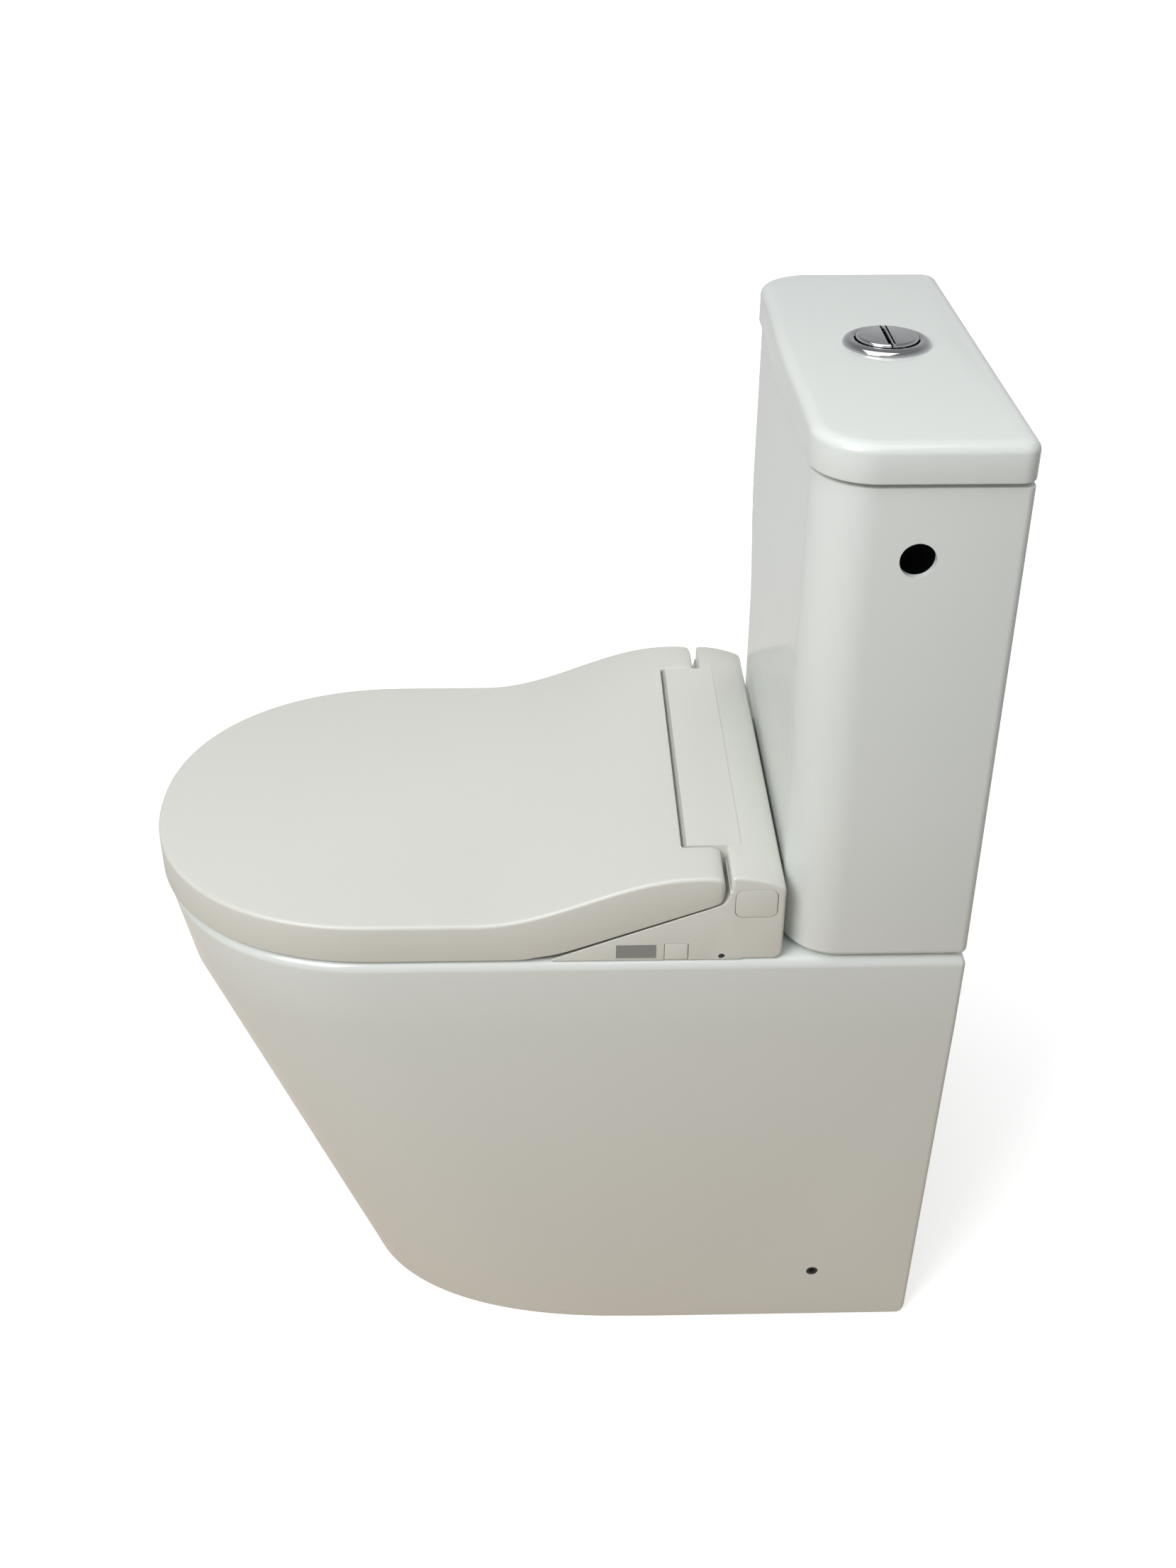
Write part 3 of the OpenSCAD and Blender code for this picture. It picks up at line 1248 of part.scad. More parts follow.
// Inlet valve over the left service hole, with the threaded hose tail below the deck.
gland_r = 9;
gland_bore_r = 4;
hose_thread_r = gland_r - 0.3;
hose_thread_l = 28;
valve_box_w = 34;
valve_box_h = 26;
hose_tail_l = 34;
module inlet_valve() color("ivory") from_wall() difference() {
    union() {
        box(-service_x - valve_box_w / 2, -service_x + valve_box_w / 2,
            -service_d - valve_box_w / 2, -service_d + valve_box_w / 2 - 1, base_top_z, base_top_z + valve_box_h);
        rod_z(-service_x, -service_d, pan_h - hose_tail_l, pan_h - hose_tail_l + hose_thread_l + 1,
            hose_thread_r);
        rod_z(-service_x, -service_d, pan_h - hose_tail_l + hose_thread_l, base_top_z + 1, gland_r);
        rod_z(-service_x + 4, -service_d, base_top_z + valve_box_h - 1,
            base_top_z + valve_box_h + 10, 8);
    }
    rod_z(-service_x, -service_d, pan_h - hose_tail_l - 1, base_top_z, gland_r - 3);
}

board_t = 1.6;
board_x0 = heater_x0 + 4;
board_w = 58;
board_l = 42;
board_z = base_top_z + 6;
module control_board() color("darkgreen") from_wall() mirror([1, 0, 0]) {
    box(board_x0, board_x0 + board_w, -base_back_d - 6 - board_l, -base_back_d - 6, board_z,
        board_z + board_t);
    for (x = [board_x0 + 5, board_x0 + board_w - 5], y = [11, board_l + 1])
        rod_z(x, -base_back_d - y, base_top_z, board_z + 0.5, 3);
    box(board_x0 + 8, board_x0 + 28, -base_back_d - 36, -base_back_d - 12, board_z + 1,
        board_z + 14);
    rod_z(board_x0 + 42, -base_back_d - 22, board_z + 1, board_z + 18, 6);
}

// Gland for the supply lead, over the right service hole.
module cable_gland() color("black") from_wall() difference() {
    union() {
        rod_z(service_x, -service_d, pan_h - 14, base_top_z + 1, gland_r);
        rod_z(service_x, -service_d, base_top_z, base_top_z + 6, gland_r + 5);
    }
    rod_z(service_x, -service_d, pan_h - 15, base_top_z + 7, gland_bore_r);
}

// ---- nodes ---------------------------------------------------------------------

pan_skirt();
pan_deck();
pan_bowl();
pan_trapway();
pan_flush_channel();
cistern_body();
cistern_lid();
doughnut_washer();
cistern_bolts();
cistern_bolt_washers();
cistern_wing_nuts();
flush_valve_body();
flush_valve_washer();
flush_valve_nut();
flush_valve_core();
flush_valve_seal();
flush_rocker();
fill_valve_body();
fill_valve_washer();
fill_valve_nut();
fill_valve_float();
fill_valve_lever();
button_ring();
button_nut();
full_flush_button();
half_flush_button();
full_flush_rod();
half_flush_rod();
full_flush_spring();
half_flush_spring();
seat_plate();
seat_bolts();
seat_bushes();
housing_base();
housing_cover();
housing_side_caps();
blank_label();
release_button();
seat_ring();
seat_ring_base();
ring_buffers();
seat_lid();
lid_buffers();
lid_hinge_pin();
ring_hinge_pin();
hinge_dampers();
wand_guide();
rear_wand();
front_wand();
wand_motors();
water_heater();
inlet_valve();
control_board();
cable_gland();
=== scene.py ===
# %% [markdown]
# # A close coupled toilet with a wash seat
#
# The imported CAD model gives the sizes, the joints and the hidden fittings.
# This lesson draws the pieces that people see on top of it: the china, the
# seat, the housing of the wash unit and the chrome button.
#
# Every shape is built the same way. A *ring* is a closed loop of points, a
# *stack* is a list of rings, and a solid is a stack closed by two caps. Holes
# and hollows are cut with other solids.
#
# Lengths are in millimetres until the mesh is made. Depths count from the
# wall, so y = -140 is 140 mm in front of it, as in the CAD source.

import json

import bmesh
import bpy
import numpy as np
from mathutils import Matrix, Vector
from mathutils.geometry import delaunay_2d_cdt


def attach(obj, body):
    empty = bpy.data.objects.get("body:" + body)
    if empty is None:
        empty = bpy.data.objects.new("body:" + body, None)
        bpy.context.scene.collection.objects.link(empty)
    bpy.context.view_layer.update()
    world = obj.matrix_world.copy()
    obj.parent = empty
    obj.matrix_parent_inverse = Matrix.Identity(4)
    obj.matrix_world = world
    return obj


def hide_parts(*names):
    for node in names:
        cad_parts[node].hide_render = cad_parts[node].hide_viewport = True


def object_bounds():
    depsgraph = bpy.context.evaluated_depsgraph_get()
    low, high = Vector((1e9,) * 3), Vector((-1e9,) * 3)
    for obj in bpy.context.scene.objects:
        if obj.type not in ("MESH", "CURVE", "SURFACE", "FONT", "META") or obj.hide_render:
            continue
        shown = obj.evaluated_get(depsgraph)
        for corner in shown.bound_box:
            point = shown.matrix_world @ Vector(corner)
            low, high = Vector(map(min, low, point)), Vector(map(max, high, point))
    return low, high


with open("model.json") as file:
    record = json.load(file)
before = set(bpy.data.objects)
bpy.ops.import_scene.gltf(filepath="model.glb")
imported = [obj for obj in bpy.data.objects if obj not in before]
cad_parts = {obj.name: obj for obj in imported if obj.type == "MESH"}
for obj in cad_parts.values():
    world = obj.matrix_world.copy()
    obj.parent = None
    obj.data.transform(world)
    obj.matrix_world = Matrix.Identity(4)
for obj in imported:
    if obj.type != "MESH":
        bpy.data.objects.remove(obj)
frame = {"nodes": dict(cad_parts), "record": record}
cad_low, cad_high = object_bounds()
WALL = 1000 * cad_high.y
print("CAD box, mm:", [round(1000 * v) for v in cad_high - cad_low], "wall at y =", round(WALL))

# %% [markdown]
# ## Outlines
#
# Three closed curves cover the whole suite: a superellipse for openings, a
# D shape for the pan and the seat, and a rectangle with round corners for the
# cistern. The first needs only powers of sine and cosine.

# %%
def arc(cx, cy, r, a0, a1, n):
    """n + 1 points on a circle: centre plus r times (cos a, sin a), a from a0 to a1 degrees."""
    a = np.radians(np.linspace(a0, a1, n + 1))
    return np.stack([cx + r * np.cos(a), cy + r * np.sin(a)], 1)


def oval(a, b, power, n=96, centre=0.0):
    """Superellipse |x/a|^p + |y/b|^p = 1, about (0, centre), counterclockwise."""
    t = np.radians(np.arange(n) * 360 / n)
    c, s = np.cos(t), np.sin(t)
    x = a * np.sign(c) * np.abs(c) ** (2 / power)
    y = b * np.sign(s) * np.abs(s) ** (2 / power)
    return np.stack([x, y + centre], 1)


print("an oval:", len(oval(36, 36, 2.3)), "points")

# %% [markdown]
# The D and the rectangle are put together from noses, arcs and straight lines.

# %%
def nose(a, start, front, power, n=72):
    """Front half of a superellipse, from (a, -start) round the front to (-a, -start).

    Points are spaced by the direction f of the outward normal, so that two noses
    of different size can be joined by straight rulings: the angle t on the curve
    obeys tan t = (b/a * tan f) ^ (p / (2p - 2)).
    """
    b = front - start
    f = np.radians(np.linspace(0, 90, n // 2 + 1))[1:-1]
    t = np.arctan((b / a * np.tan(f)) ** (power / (2 * power - 2)))
    x = a * np.cos(t) ** (2 / power)
    y = -start - b * np.sin(t) ** (2 / power)
    right = np.stack([x, y], 1)
    left = right[::-1] * [-1, 1]
    return np.concatenate([[[a, -start]], right, [[0, -front]], left, [[-a, -start]]])


def d_shape(width, back, start, front, power, corner=4.0, inset=0.0):
    """A D: a nose in front, straight sides, and small round corners at the back."""
    a = width / 2 - inset
    r = max(corner - inset, 0.3)
    y = -back - inset
    return np.concatenate([nose(a, start, front - inset, power),
                           arc(-a + r, y - r, r, 180, 90, 6),
                           arc(a - r, y - r, r, 90, 0, 6)])


def tank(width, back, front, front_r, back_r, inset=0.0, bow=0.0):
    """A rectangle with big front corners and small back ones; the front swells by bow cos^2."""
    a, y0, y1 = width / 2 - inset, -back - inset, -front + inset
    fr, br = max(front_r - inset, 0.5), max(back_r - inset, 0.5)
    x = np.linspace(a - fr, -a + fr, 17)[1:-1]
    swell = -bow * np.cos(np.pi * x / 2 / (a - fr)) ** 2
    return np.concatenate([arc(a - br, y0 - br, br, 90, 0, 6),
                           arc(a - fr, y1 + fr, fr, 0, -90, 20),
                           np.stack([x, y1 + swell], 1),
                           arc(-a + fr, y1 + fr, fr, -90, -180, 20),
                           arc(-a + br, y0 - br, br, 180, 90, 6)])


print("nose of the rim:", len(nose(182.5, 448, 628, 2.15)), "points")

# %% [markdown]
# ## Work on outlines
#
# An outline can be drawn in, split into shorter edges, or filled with a fine
# net of triangles, which is what the swelling top of the seat lid needs.

# %%
def inset(points, distance):
    """Moves a closed outline inwards along its corner bisectors by distance (one or many)."""
    before, after = np.roll(points, 1, 0), np.roll(points, -1, 0)

    def normal(v):
        """Unit vectors square to v."""
        v = v / np.maximum(np.linalg.norm(v, axis=1, keepdims=True), 1e-9)
        return np.stack([v[:, 1], -v[:, 0]], 1)

    n0, n1 = normal(points - before), normal(after - points)
    n = n0 + n1
    n /= np.maximum((n * n).sum(1, keepdims=True) / 2, 0.2)
    area = (before[:, 0] * points[:, 1] - points[:, 0] * before[:, 1]).sum()
    return points - np.sign(area) * n * np.reshape(distance, (-1, 1))


def dense(outline, step):
    """Splits the long edges of a closed outline so that none is longer than step."""
    out = []
    for p, q in zip(outline, np.roll(outline, -1, 0)):
        n = max(1, int(np.ceil(np.linalg.norm(q - p) / step)))
        out += [p + (q - p) * i / n for i in range(n)]
    return np.array(out)


def inside(points, loop):
    """True for each point within the loop, by counting crossings of a ray."""
    x, y = points[:, :1], points[:, 1:]
    x0, y0 = loop.T
    x1, y1 = np.roll(loop, -1, 0).T
    crosses = (y0 > y) != (y1 > y)
    dy = np.where(y1 == y0, 1e-9, y1 - y0)
    return (crosses & (x < x0 + (y - y0) * (x1 - x0) / dy)).sum(1) % 2 == 1


def net(loop, step):
    """Triangles over the inside of a loop, with grid points step apart in it.

    A grid point g stays when it is 0.45 step or more from every edge p + t side,
    where t = (g - p) . side / side . side, held between 0 and 1.
    """
    (x0, y0), (x1, y1) = loop.min(0), loop.max(0)
    grid = np.stack(np.meshgrid(np.arange(x0, x1, step), np.arange(y0, y1, step)), -1)
    grid = grid.reshape(-1, 2)
    grid = grid[inside(grid, loop)]
    side = np.roll(loop, -1, 0) - loop
    t = np.clip(((grid[:, None] - loop) * side).sum(2) / (side ** 2).sum(1), 0, 1)
    gap = np.linalg.norm(grid[:, None] - loop - t[..., None] * side, axis=2).min(1)
    points = np.concatenate([loop, grid[gap > 0.45 * step]])
    edges = [(i, (i + 1) % len(loop)) for i in range(len(loop))]
    out = delaunay_2d_cdt([Vector(p) for p in points], edges, [], 1, 1e-6)
    keep = {i: o[0] for i, o in enumerate(out[3]) if o}
    return points, [[keep[i] for i in f] for f in out[2] if all(i in keep for i in f)]


print("a net over a disc of 20 mm:", len(net(oval(10, 10, 2), 3)[1]), "triangles")

# %% [markdown]
# ## Solids
#
# `solid` turns a stack of rings into a closed mesh. A cap may be flat, or a
# height rule z(x, y) over a net.

# %%
def make(name, verts, faces):
    """A closed mesh from points in millimetres, put in the shared frame, its faces outwards."""
    v = (np.asarray(verts, float) + [0, WALL, 0]) / 1000
    mesh = bpy.data.meshes.new(name)
    mesh.from_pydata(v.tolist(), [], faces)
    bm = bmesh.new()
    bm.from_mesh(mesh)
    bmesh.ops.recalc_face_normals(bm, faces=bm.faces)
    assert all(e.is_manifold for e in bm.edges), f"{name} is open"
    bm.to_mesh(mesh)
    bm.free()
    obj = bpy.data.objects.new(name, mesh)
    bpy.context.scene.collection.objects.link(obj)
    return obj


def solid(name, rings, first=None, last=None, step=7.0):
    """Closes a stack of equal rings. first and last are height rules for curved caps."""
    rings = [np.asarray(r, float) for r in rings]
    n, k = len(rings[0]), len(rings)
    verts = list(np.concatenate(rings))
    faces = [[i * n + j, i * n + (j + 1) % n, (i + 1) * n + (j + 1) % n, (i + 1) * n + j]
             for i in range(k - 1) for j in range(n)]
    for base, ring, rule in ((0, rings[0], first), ((k - 1) * n, rings[-1], last)):
        if rule is None:
            faces.append([base + j for j in range(n)])
            continue
        points, triangles = net(ring[:, :2], step)
        extra = points[n:]
        start = len(verts)
        verts += list(np.column_stack([extra, rule(extra[:, 0], extra[:, 1])]))
        faces += [[base + i if i < n else start + i - n for i in t] for t in triangles]
    return make(name, verts, faces)


def at(outline, z):
    """The outline as a ring at height z."""
    return np.column_stack([outline, np.broadcast_to(z, len(outline))])


def show(obj):
    """Prints how a trial piece came out and takes it away again."""
    print(f"{obj.name}: {len(obj.data.polygons)} faces")
    bpy.data.objects.remove(obj)


show(solid("trial cone", [at(oval(10, 10, 2), 0), at(oval(6, 6, 2), 5)]))

# %% [markdown]
# Everything else is a solid with its rings given by a rule: prisms with
# rounded edges, bars, boxes and turned pieces.

# %%
def span(side, a, b):
    """The two ends, lower first, of a stretch from a to b on side -1 or 1."""
    return sorted((side * a, side * b))


def fillet(r, n=6, wide=1.0):
    """Steps (inset, drop) of a quarter round: inset wide r(1 - cos a), drop r(1 - sin a)."""
    if not r:
        return [(0.0, 0.0)]
    a = np.radians(np.linspace(0, 90, n + 1))
    return [(wide * r * (1 - np.cos(t)), r * (1 - np.sin(t))) for t in a]


def prism(name, outline, z0, z1, foot=0.0, edge=0.0):
    """An upright prism whose lower and upper edges are rounded by foot and edge."""
    low = [at(inset(outline, i), z0 + d) for i, d in fillet(foot)][::-1]
    return solid(name, low + [at(inset(outline, i), z1 - d) for i, d in fillet(edge)])


def along_x(name, profile, x0, x1, edge=0.0):
    """A prism along X of a (y, z) profile, with both end edges rounded."""
    rings = [np.column_stack([np.full(len(p), x), p]) for x, p in
             [(x0 + d, inset(profile, i)) for i, d in fillet(edge, 4)][::-1]
             + [(x1 - d, inset(profile, i)) for i, d in fillet(edge, 4)]]
    return solid(name, rings)


def rod(name, a, b, r, n=48):
    """A round bar from point a to point b."""
    a, b = np.array(a, float), np.array(b, float)
    axis = (b - a) / np.linalg.norm(b - a)
    side = np.cross(axis, [0.3, 0.5, 0.8])
    side /= np.linalg.norm(side)
    other = np.cross(axis, side)
    t = np.radians(np.arange(n) * 360 / n)[:, None]
    ring = r * (np.cos(t) * side + np.sin(t) * other)
    return solid(name, [a + ring, b + ring])


def block(name, low, high):
    """A plain box between two corners."""
    (x0, y0, z0), (x1, y1, z1) = low, high
    base = np.array([[x0, y0], [x1, y0], [x1, y1], [x0, y1]])
    return solid(name, [at(base, z0), at(base, z1)])


def lathe(name, profile, centre, n=128):
    """A solid turned about the upright axis through centre, from a closed (r, z) profile."""
    t = np.radians(np.arange(n) * 360 / n)
    rings = [np.column_stack([centre[0] + r * np.cos(t), centre[1] + r * np.sin(t), np.full(n, z)])
             for r, z in profile]
    k = len(rings)
    verts = np.concatenate(rings)
    faces = [[i * n + j, i * n + (j + 1) % n, (i + 1) % k * n + (j + 1) % n, (i + 1) % k * n + j]
             for i in range(k) for j in range(n)]
    return make(name, verts, faces)


show(prism("trial disc", oval(10, 10, 2), 0, 5, edge=1))

# %% [markdown]
# One function cuts solids with solids, and joins them.

# %%
def combine(obj, tools, how="DIFFERENCE"):
    """Cuts or joins the tools with a solid, then removes them."""
    for tool in tools:
        m = obj.modifiers.new("step", "BOOLEAN")
        m.operation, m.solver, m.object = how, "MANIFOLD", tool
    graph = bpy.context.evaluated_depsgraph_get()
    mesh = bpy.data.meshes.new_from_object(obj.evaluated_get(graph))
    obj.modifiers.clear()
    old, obj.data = obj.data, mesh
    bpy.data.meshes.remove(old)
    for tool in tools:
        bpy.data.objects.remove(tool)
    return obj


show(combine(prism("trial washer", oval(10, 10, 2), 0, 5), [rod("eye", (0, 0, -1), (0, 0, 6), 4)]))

# %% [markdown]
# ## Finishes
#
# Colours are written as on screen (sRGB) and turned into light by one
# function. The texture of a surface is a bump with a size and a depth in
# millimetres.

# %%
def colour(hexa):
    """Screen colour to linear light: ((c + 0.055) / 1.055) ^ 2.4, or c / 12.92 when dark."""
    c = np.array([int(hexa[i:i + 2], 16) for i in (1, 3, 5)]) / 255
    light = np.where(c > 0.04045, ((c + 0.055) / 1.055) ** 2.4, c / 12.92)
    return (*light, 1.0)


def finish(name, hexa, rough, metal=0.0, grain=None, wave=None, soft=0.0):
    """A finish of one even colour.

    grain = (size mm, depth mm) is a fine texture and wave a broad one; soft is the share of
    light that passes under the surface.
    """
    m = bpy.data.materials.new(name)
    m.use_nodes = True
    nodes, links = m.node_tree.nodes, m.node_tree.links
    skin = nodes["Principled BSDF"]
    skin.inputs["Base Color"].default_value = colour(hexa)
    skin.inputs["Roughness"].default_value = rough
    skin.inputs["Metallic"].default_value = metal
    if soft:
        skin.inputs["Subsurface Weight"].default_value = soft
        skin.inputs["Subsurface Radius"].default_value = (0.003, 0.0026, 0.002)
        skin.inputs["Subsurface Scale"].default_value = 1.0
    place = nodes.new("ShaderNodeTexCoord")
    normal = None
    for size, depth in filter(None, (wave, grain)):
        noise, bump = nodes.new("ShaderNodeTexNoise"), nodes.new("ShaderNodeBump")
        noise.inputs["Scale"].default_value = 1000 / size
        noise.inputs["Detail"].default_value = 1.0
        bump.inputs["Distance"].default_value = depth / 1000
        bump.inputs["Strength"].default_value = 1.0
        links.new(place.outputs["Object"], noise.inputs["Vector"])
        links.new(noise.outputs["Fac"], bump.inputs["Height"])
        if normal:
            links.new(normal, bump.inputs["Normal"])
        normal = bump.outputs["Normal"]
    if normal:
        links.new(normal, skin.inputs["Normal"])
    return m


print("china in light:", np.round(colour("#E6EBE8"), 3))

# %% [markdown]
# Each finish is named for its material slot in the record, so the CAD fittings
# inside the cistern and the seat take theirs from the same table. Only
# gloss_plastic has no slot: it is the seat's plastic, polished.

# %%
FINISH = {
    "china": finish("china", "#E6EBE8", 0.1, wave=(60, 0.05)),
    "seat_plastic": finish("seat_plastic", "#E0E1DA", 0.32, grain=(0.9, 0.006), soft=0.05),
    "chrome_plastic": finish("chrome_plastic", "#CDCFD1", 0.1, metal=1.0, wave=(12, 0.01)),
    "gloss_plastic": finish("gloss_plastic", "#E0E1DA", 0.14, wave=(50, 0.03)),
    "fitting_plastic": finish("fitting_plastic", "#E4E4DE", 0.45, grain=(0.8, 0.01)),
    "grey_plastic": finish("grey_plastic", "#9A9C9E", 0.45, grain=(0.8, 0.01)),
    "float_plastic": finish("float_plastic", "#6E93A8", 0.4, grain=(0.8, 0.01)),
    "black_plastic": finish("black_plastic", "#232425", 0.5, grain=(0.7, 0.01)),
    "label_print": finish("label_print", "#8F918F", 0.5, grain=(0.5, 0.01)),
    "rubber": finish("rubber", "#2B2B2C", 0.7, grain=(1.0, 0.02)),
    "white_rubber": finish("white_rubber", "#DDDCD6", 0.6, grain=(1.0, 0.01)),
    "seal_rubber": finish("seal_rubber", "#8E3A32", 0.6, grain=(1.0, 0.01)),
    "brass": finish("brass", "#C9A867", 0.3, metal=1.0, grain=(0.5, 0.005)),
    "steel": finish("steel", "#C4C5C6", 0.25, metal=1.0, grain=(0.4, 0.004)),
    "board": finish("board", "#2F6B45", 0.4, grain=(0.6, 0.01)),
}
SLOT = {s["node"]: s["material_slot"] for s in frame["record"]["subparts"]}
print(len(FINISH), "finishes for", len(SLOT), "CAD nodes")

# %% [markdown]
# A finished piece is shaded smooth up to a crease angle, rides on its CAD
# body and hides the CAD nodes that it stands for. The CAD fittings that stay
# in sight only take a finish.

# %%
BODY = {n: b for b, nodes in frame["record"]["behaviour"]["bodies"].items() for n in nodes}


def smooth(mesh, crease=38):
    """Smooth shading, with a crease where two faces meet at more than that angle."""
    mesh.shade_smooth()
    mesh.set_sharp_from_angle(angle=np.radians(crease))


def coat(obj, name):
    """Gives an object one finish, without touching its points."""
    obj.data.materials.clear()
    obj.data.materials.append(FINISH[name])
    smooth(obj.data)


def trim(obj, name):
    """A small piece that has no CAD node of its own and stands still on the suite."""
    obj.data.materials.clear()
    obj.data.materials.append(FINISH[name])
    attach(obj, "suite")


def done(obj, *nodes, look=None):
    """Dresses a solid as the CAD nodes it replaces and puts it on their body."""
    slot = SLOT[nodes[0]]
    coat(obj, look or slot)
    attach(obj, BODY[nodes[0]])
    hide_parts(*nodes)
    size = 1000 * np.array(obj.dimensions)
    print(f"{obj.name}: {len(obj.data.polygons)} faces, {size.round(1)} mm")
    return obj


for name, node in frame["nodes"].items():
    coat(node, SLOT[name])
print("bodies:", ", ".join(sorted(set(BODY.values()))))

# %% [markdown]
# ## Shared places
#
# Pieces that meet take their places from here: the flush valve stands in the
# middle of the cistern, and everything on the seat turns about the hinge.

# %%
SIDES = (-1, 1)
PAN_W, PAN_H = 365, 412
CHINA, DECK = 10, 12
VALVE_Y = -70
FULL_ROD, HALF_ROD = (8, -82), (-8, -58)
HINGE = (-197, 473.5)
SHELL = 2.8
EAR_TOP_D, EAR_TOP_Z, EAR_SLOPE = 189, 463.3, 0.375


def ear_line(d, below=0.0):
    """Height of the straight lower edge of the lid's ears at depth d, less a gap below it."""
    return EAR_TOP_Z - below - EAR_SLOPE * (d - EAR_TOP_D)


meet = EAR_TOP_D + (EAR_TOP_Z - PAN_H) / EAR_SLOPE
print("the ears meet the rim", round(meet), "mm from the wall")

# %% [markdown]
# ## The pan
#
# The skirt is ruled from the foot to the knee and from the knee to the rim.
# All three outlines share one form, so their points match one to one.

# %%
KNEE_H = 345
FOOT_BACK, HEEL_R = 4, 12
SUMP_Z, SUMP_R, SUMP_Y = 75, 36, -368
BOWL_HALF_W, BOWL_HALF_L, BOWL_Y = 127, 163, -422


def foot(back=FOOT_BACK, **k):
    """Outline at the floor."""
    return d_shape(332, back, 230, 488, 2.5, **k)


def knee(back=0, **k):
    """Outline at the knee, where the front turns from upright to sloping in."""
    return d_shape(PAN_W - 5.4, back, 437, 617, 2.15, **k)


def rim(back=0, **k):
    """Outline at the rim."""
    return d_shape(PAN_W, back, 448, 628, 2.15, **k)


def bowl_rings(wall, top, flare=0.0):
    """Ovals from the sump to the rim: half sizes grow as sump + (rim - sump) f^0.72."""
    def ring(z, extra=0.0):
        """The oval at height z, extra larger all round."""
        f = np.clip((z - SUMP_Z + wall) / (PAN_H + 1 - SUMP_Z + wall), 0, 1)
        g = f ** 0.72
        grow = wall + extra
        return at(oval(SUMP_R + (BOWL_HALF_W - SUMP_R) * g + grow,
                       SUMP_R + (BOWL_HALF_L - SUMP_R) * g + grow, 2.3,
                       centre=SUMP_Y + (BOWL_Y - SUMP_Y) * f), z)
    low = SUMP_Z - wall
    rings = [ring(low + (top - flare - low) * t ** 2) for t in np.linspace(0, 1, 36)]
    if flare:
        rings += [ring(top - i, flare - d) for i, d in fillet(flare)[::-1]][1:]
    return rings


pan = solid("pan_china", [at(foot(inset=i), d) for i, d in fillet(2.5)][::-1]
            + [at(knee(), KNEE_H)] + [at(rim(inset=i), PAN_H - d) for i, d in fillet(8, 10)])
print("pan before carving:", len(pan.data.polygons), "faces")

# %% [markdown]
# The trapway is a tube swept along three bends: down from the bowl's sump and
# up again, over the crest, and down to the outlet. A pipe bend of radius r
# that turns by 45 degrees moves r sin 45 along and r (1 - cos 45) across.

# %%
TRAP_BORE, DUCT_WALL, OUTLET_BORE = 33, 8, 41
LOW_Y, LOW_Z, CREST_Z, OUT_Z = -316, 105, 223, 185
LOW_R, CREST_R, OUT_R = 75, 60, 45


def bend(cy, cz, r, a0, a1, n):
    """Stations (y, z, heading) of a centre line turning about (cy, cz)."""
    a = np.linspace(a0, a1, n + 1)
    t = np.radians(a)
    return [(cy + r * c, cz + r * s, h) for c, s, h in
            zip(np.cos(t), np.sin(t), np.radians(a + 90 * np.sign(a1 - a0)))]


def sweep(name, line, r, n=48):
    """A tube of radius r whose rings stand square to the centre line."""
    b = np.radians(np.arange(n) * 360 / n)
    return solid(name, [np.column_stack([r * np.cos(b), y - r * np.sin(b) * np.sin(h),
                                         z + r * np.sin(b) * np.cos(h)]) for y, z, h in line])


across, along = 1 - np.cos(np.pi / 4), np.sin(np.pi / 4)
climb = CREST_Z - LOW_Z - (CREST_R + LOW_R) * across
fall = CREST_Z - OUT_Z - (CREST_R + OUT_R) * across
crest_y = LOW_Y + (LOW_R + CREST_R) * along + climb
out_y = crest_y + (CREST_R + OUT_R) * along + fall
TRAP = (bend(LOW_Y, LOW_Z + LOW_R, LOW_R, 215, 315, 20)
        + bend(crest_y, CREST_Z - CREST_R, CREST_R, 135, 45, 18)
        + bend(out_y, OUT_Z + OUT_R, OUT_R, 225, 270, 10))
print("trapway: crest", round(crest_y), "and outlet bend", round(out_y), "mm from the wall")

# %% [markdown]
# The skirt is hollowed from below and behind, the outer forms of the bowl,
# trapway and flush channel are joined to it, and then all their insides are
# cut in one go with the holes for the cistern, the seat and the floor screws.

# %%
FIXING, FIXING_R = (-90, 58), 5

heel_y = -FOOT_BACK - HEEL_R
heel = np.concatenate([[[2, -2], [2, HEEL_R]], arc(heel_y, HEEL_R, HEEL_R, 0, -90, 8),
                       [[heel_y, -2]]])
combine(pan, [solid("space", [at(foot(back=-40, inset=CHINA), -5),
                              at(knee(back=-40, inset=CHINA), KNEE_H),
                              at(rim(back=-40, inset=CHINA), PAN_H - DECK)]),
              along_x("heel", heel, -200, 200)])
combine(pan, [solid("bowl", bowl_rings(CHINA, PAN_H - DECK / 2)),
              sweep("trap", TRAP, TRAP_BORE + DUCT_WALL),
              rod("spigot", (0, out_y - 16, OUT_Z), (0, -12, OUT_Z), OUTLET_BORE + CHINA, 96),
              rod("collar", (0, out_y - 16, OUT_Z), (0, out_y - 10, OUT_Z), 54, 96),
              rod("cup", (0, VALVE_Y, 332), (0, VALVE_Y, 406), 58, 96),
              block("channel", (-46, -267, 332), (46, VALVE_Y, 384))], "UNION")
holes = [rod("hole", (s * x, y, 395), (s * x, y, 415), r) for s in SIDES
         for x, y, r in ((75, VALVE_Y, 6), (77.5, -190, 7), (130, -165, 13))]
holes += [rod("fixing", (s * 145, *FIXING), (s * 185, *FIXING), FIXING_R) for s in SIDES]
holes += [rod("supply", (-120, VALVE_Y, 395), (-120, VALVE_Y, 415), 25)]
basin = bowl_rings(0, PAN_H, flare=6)
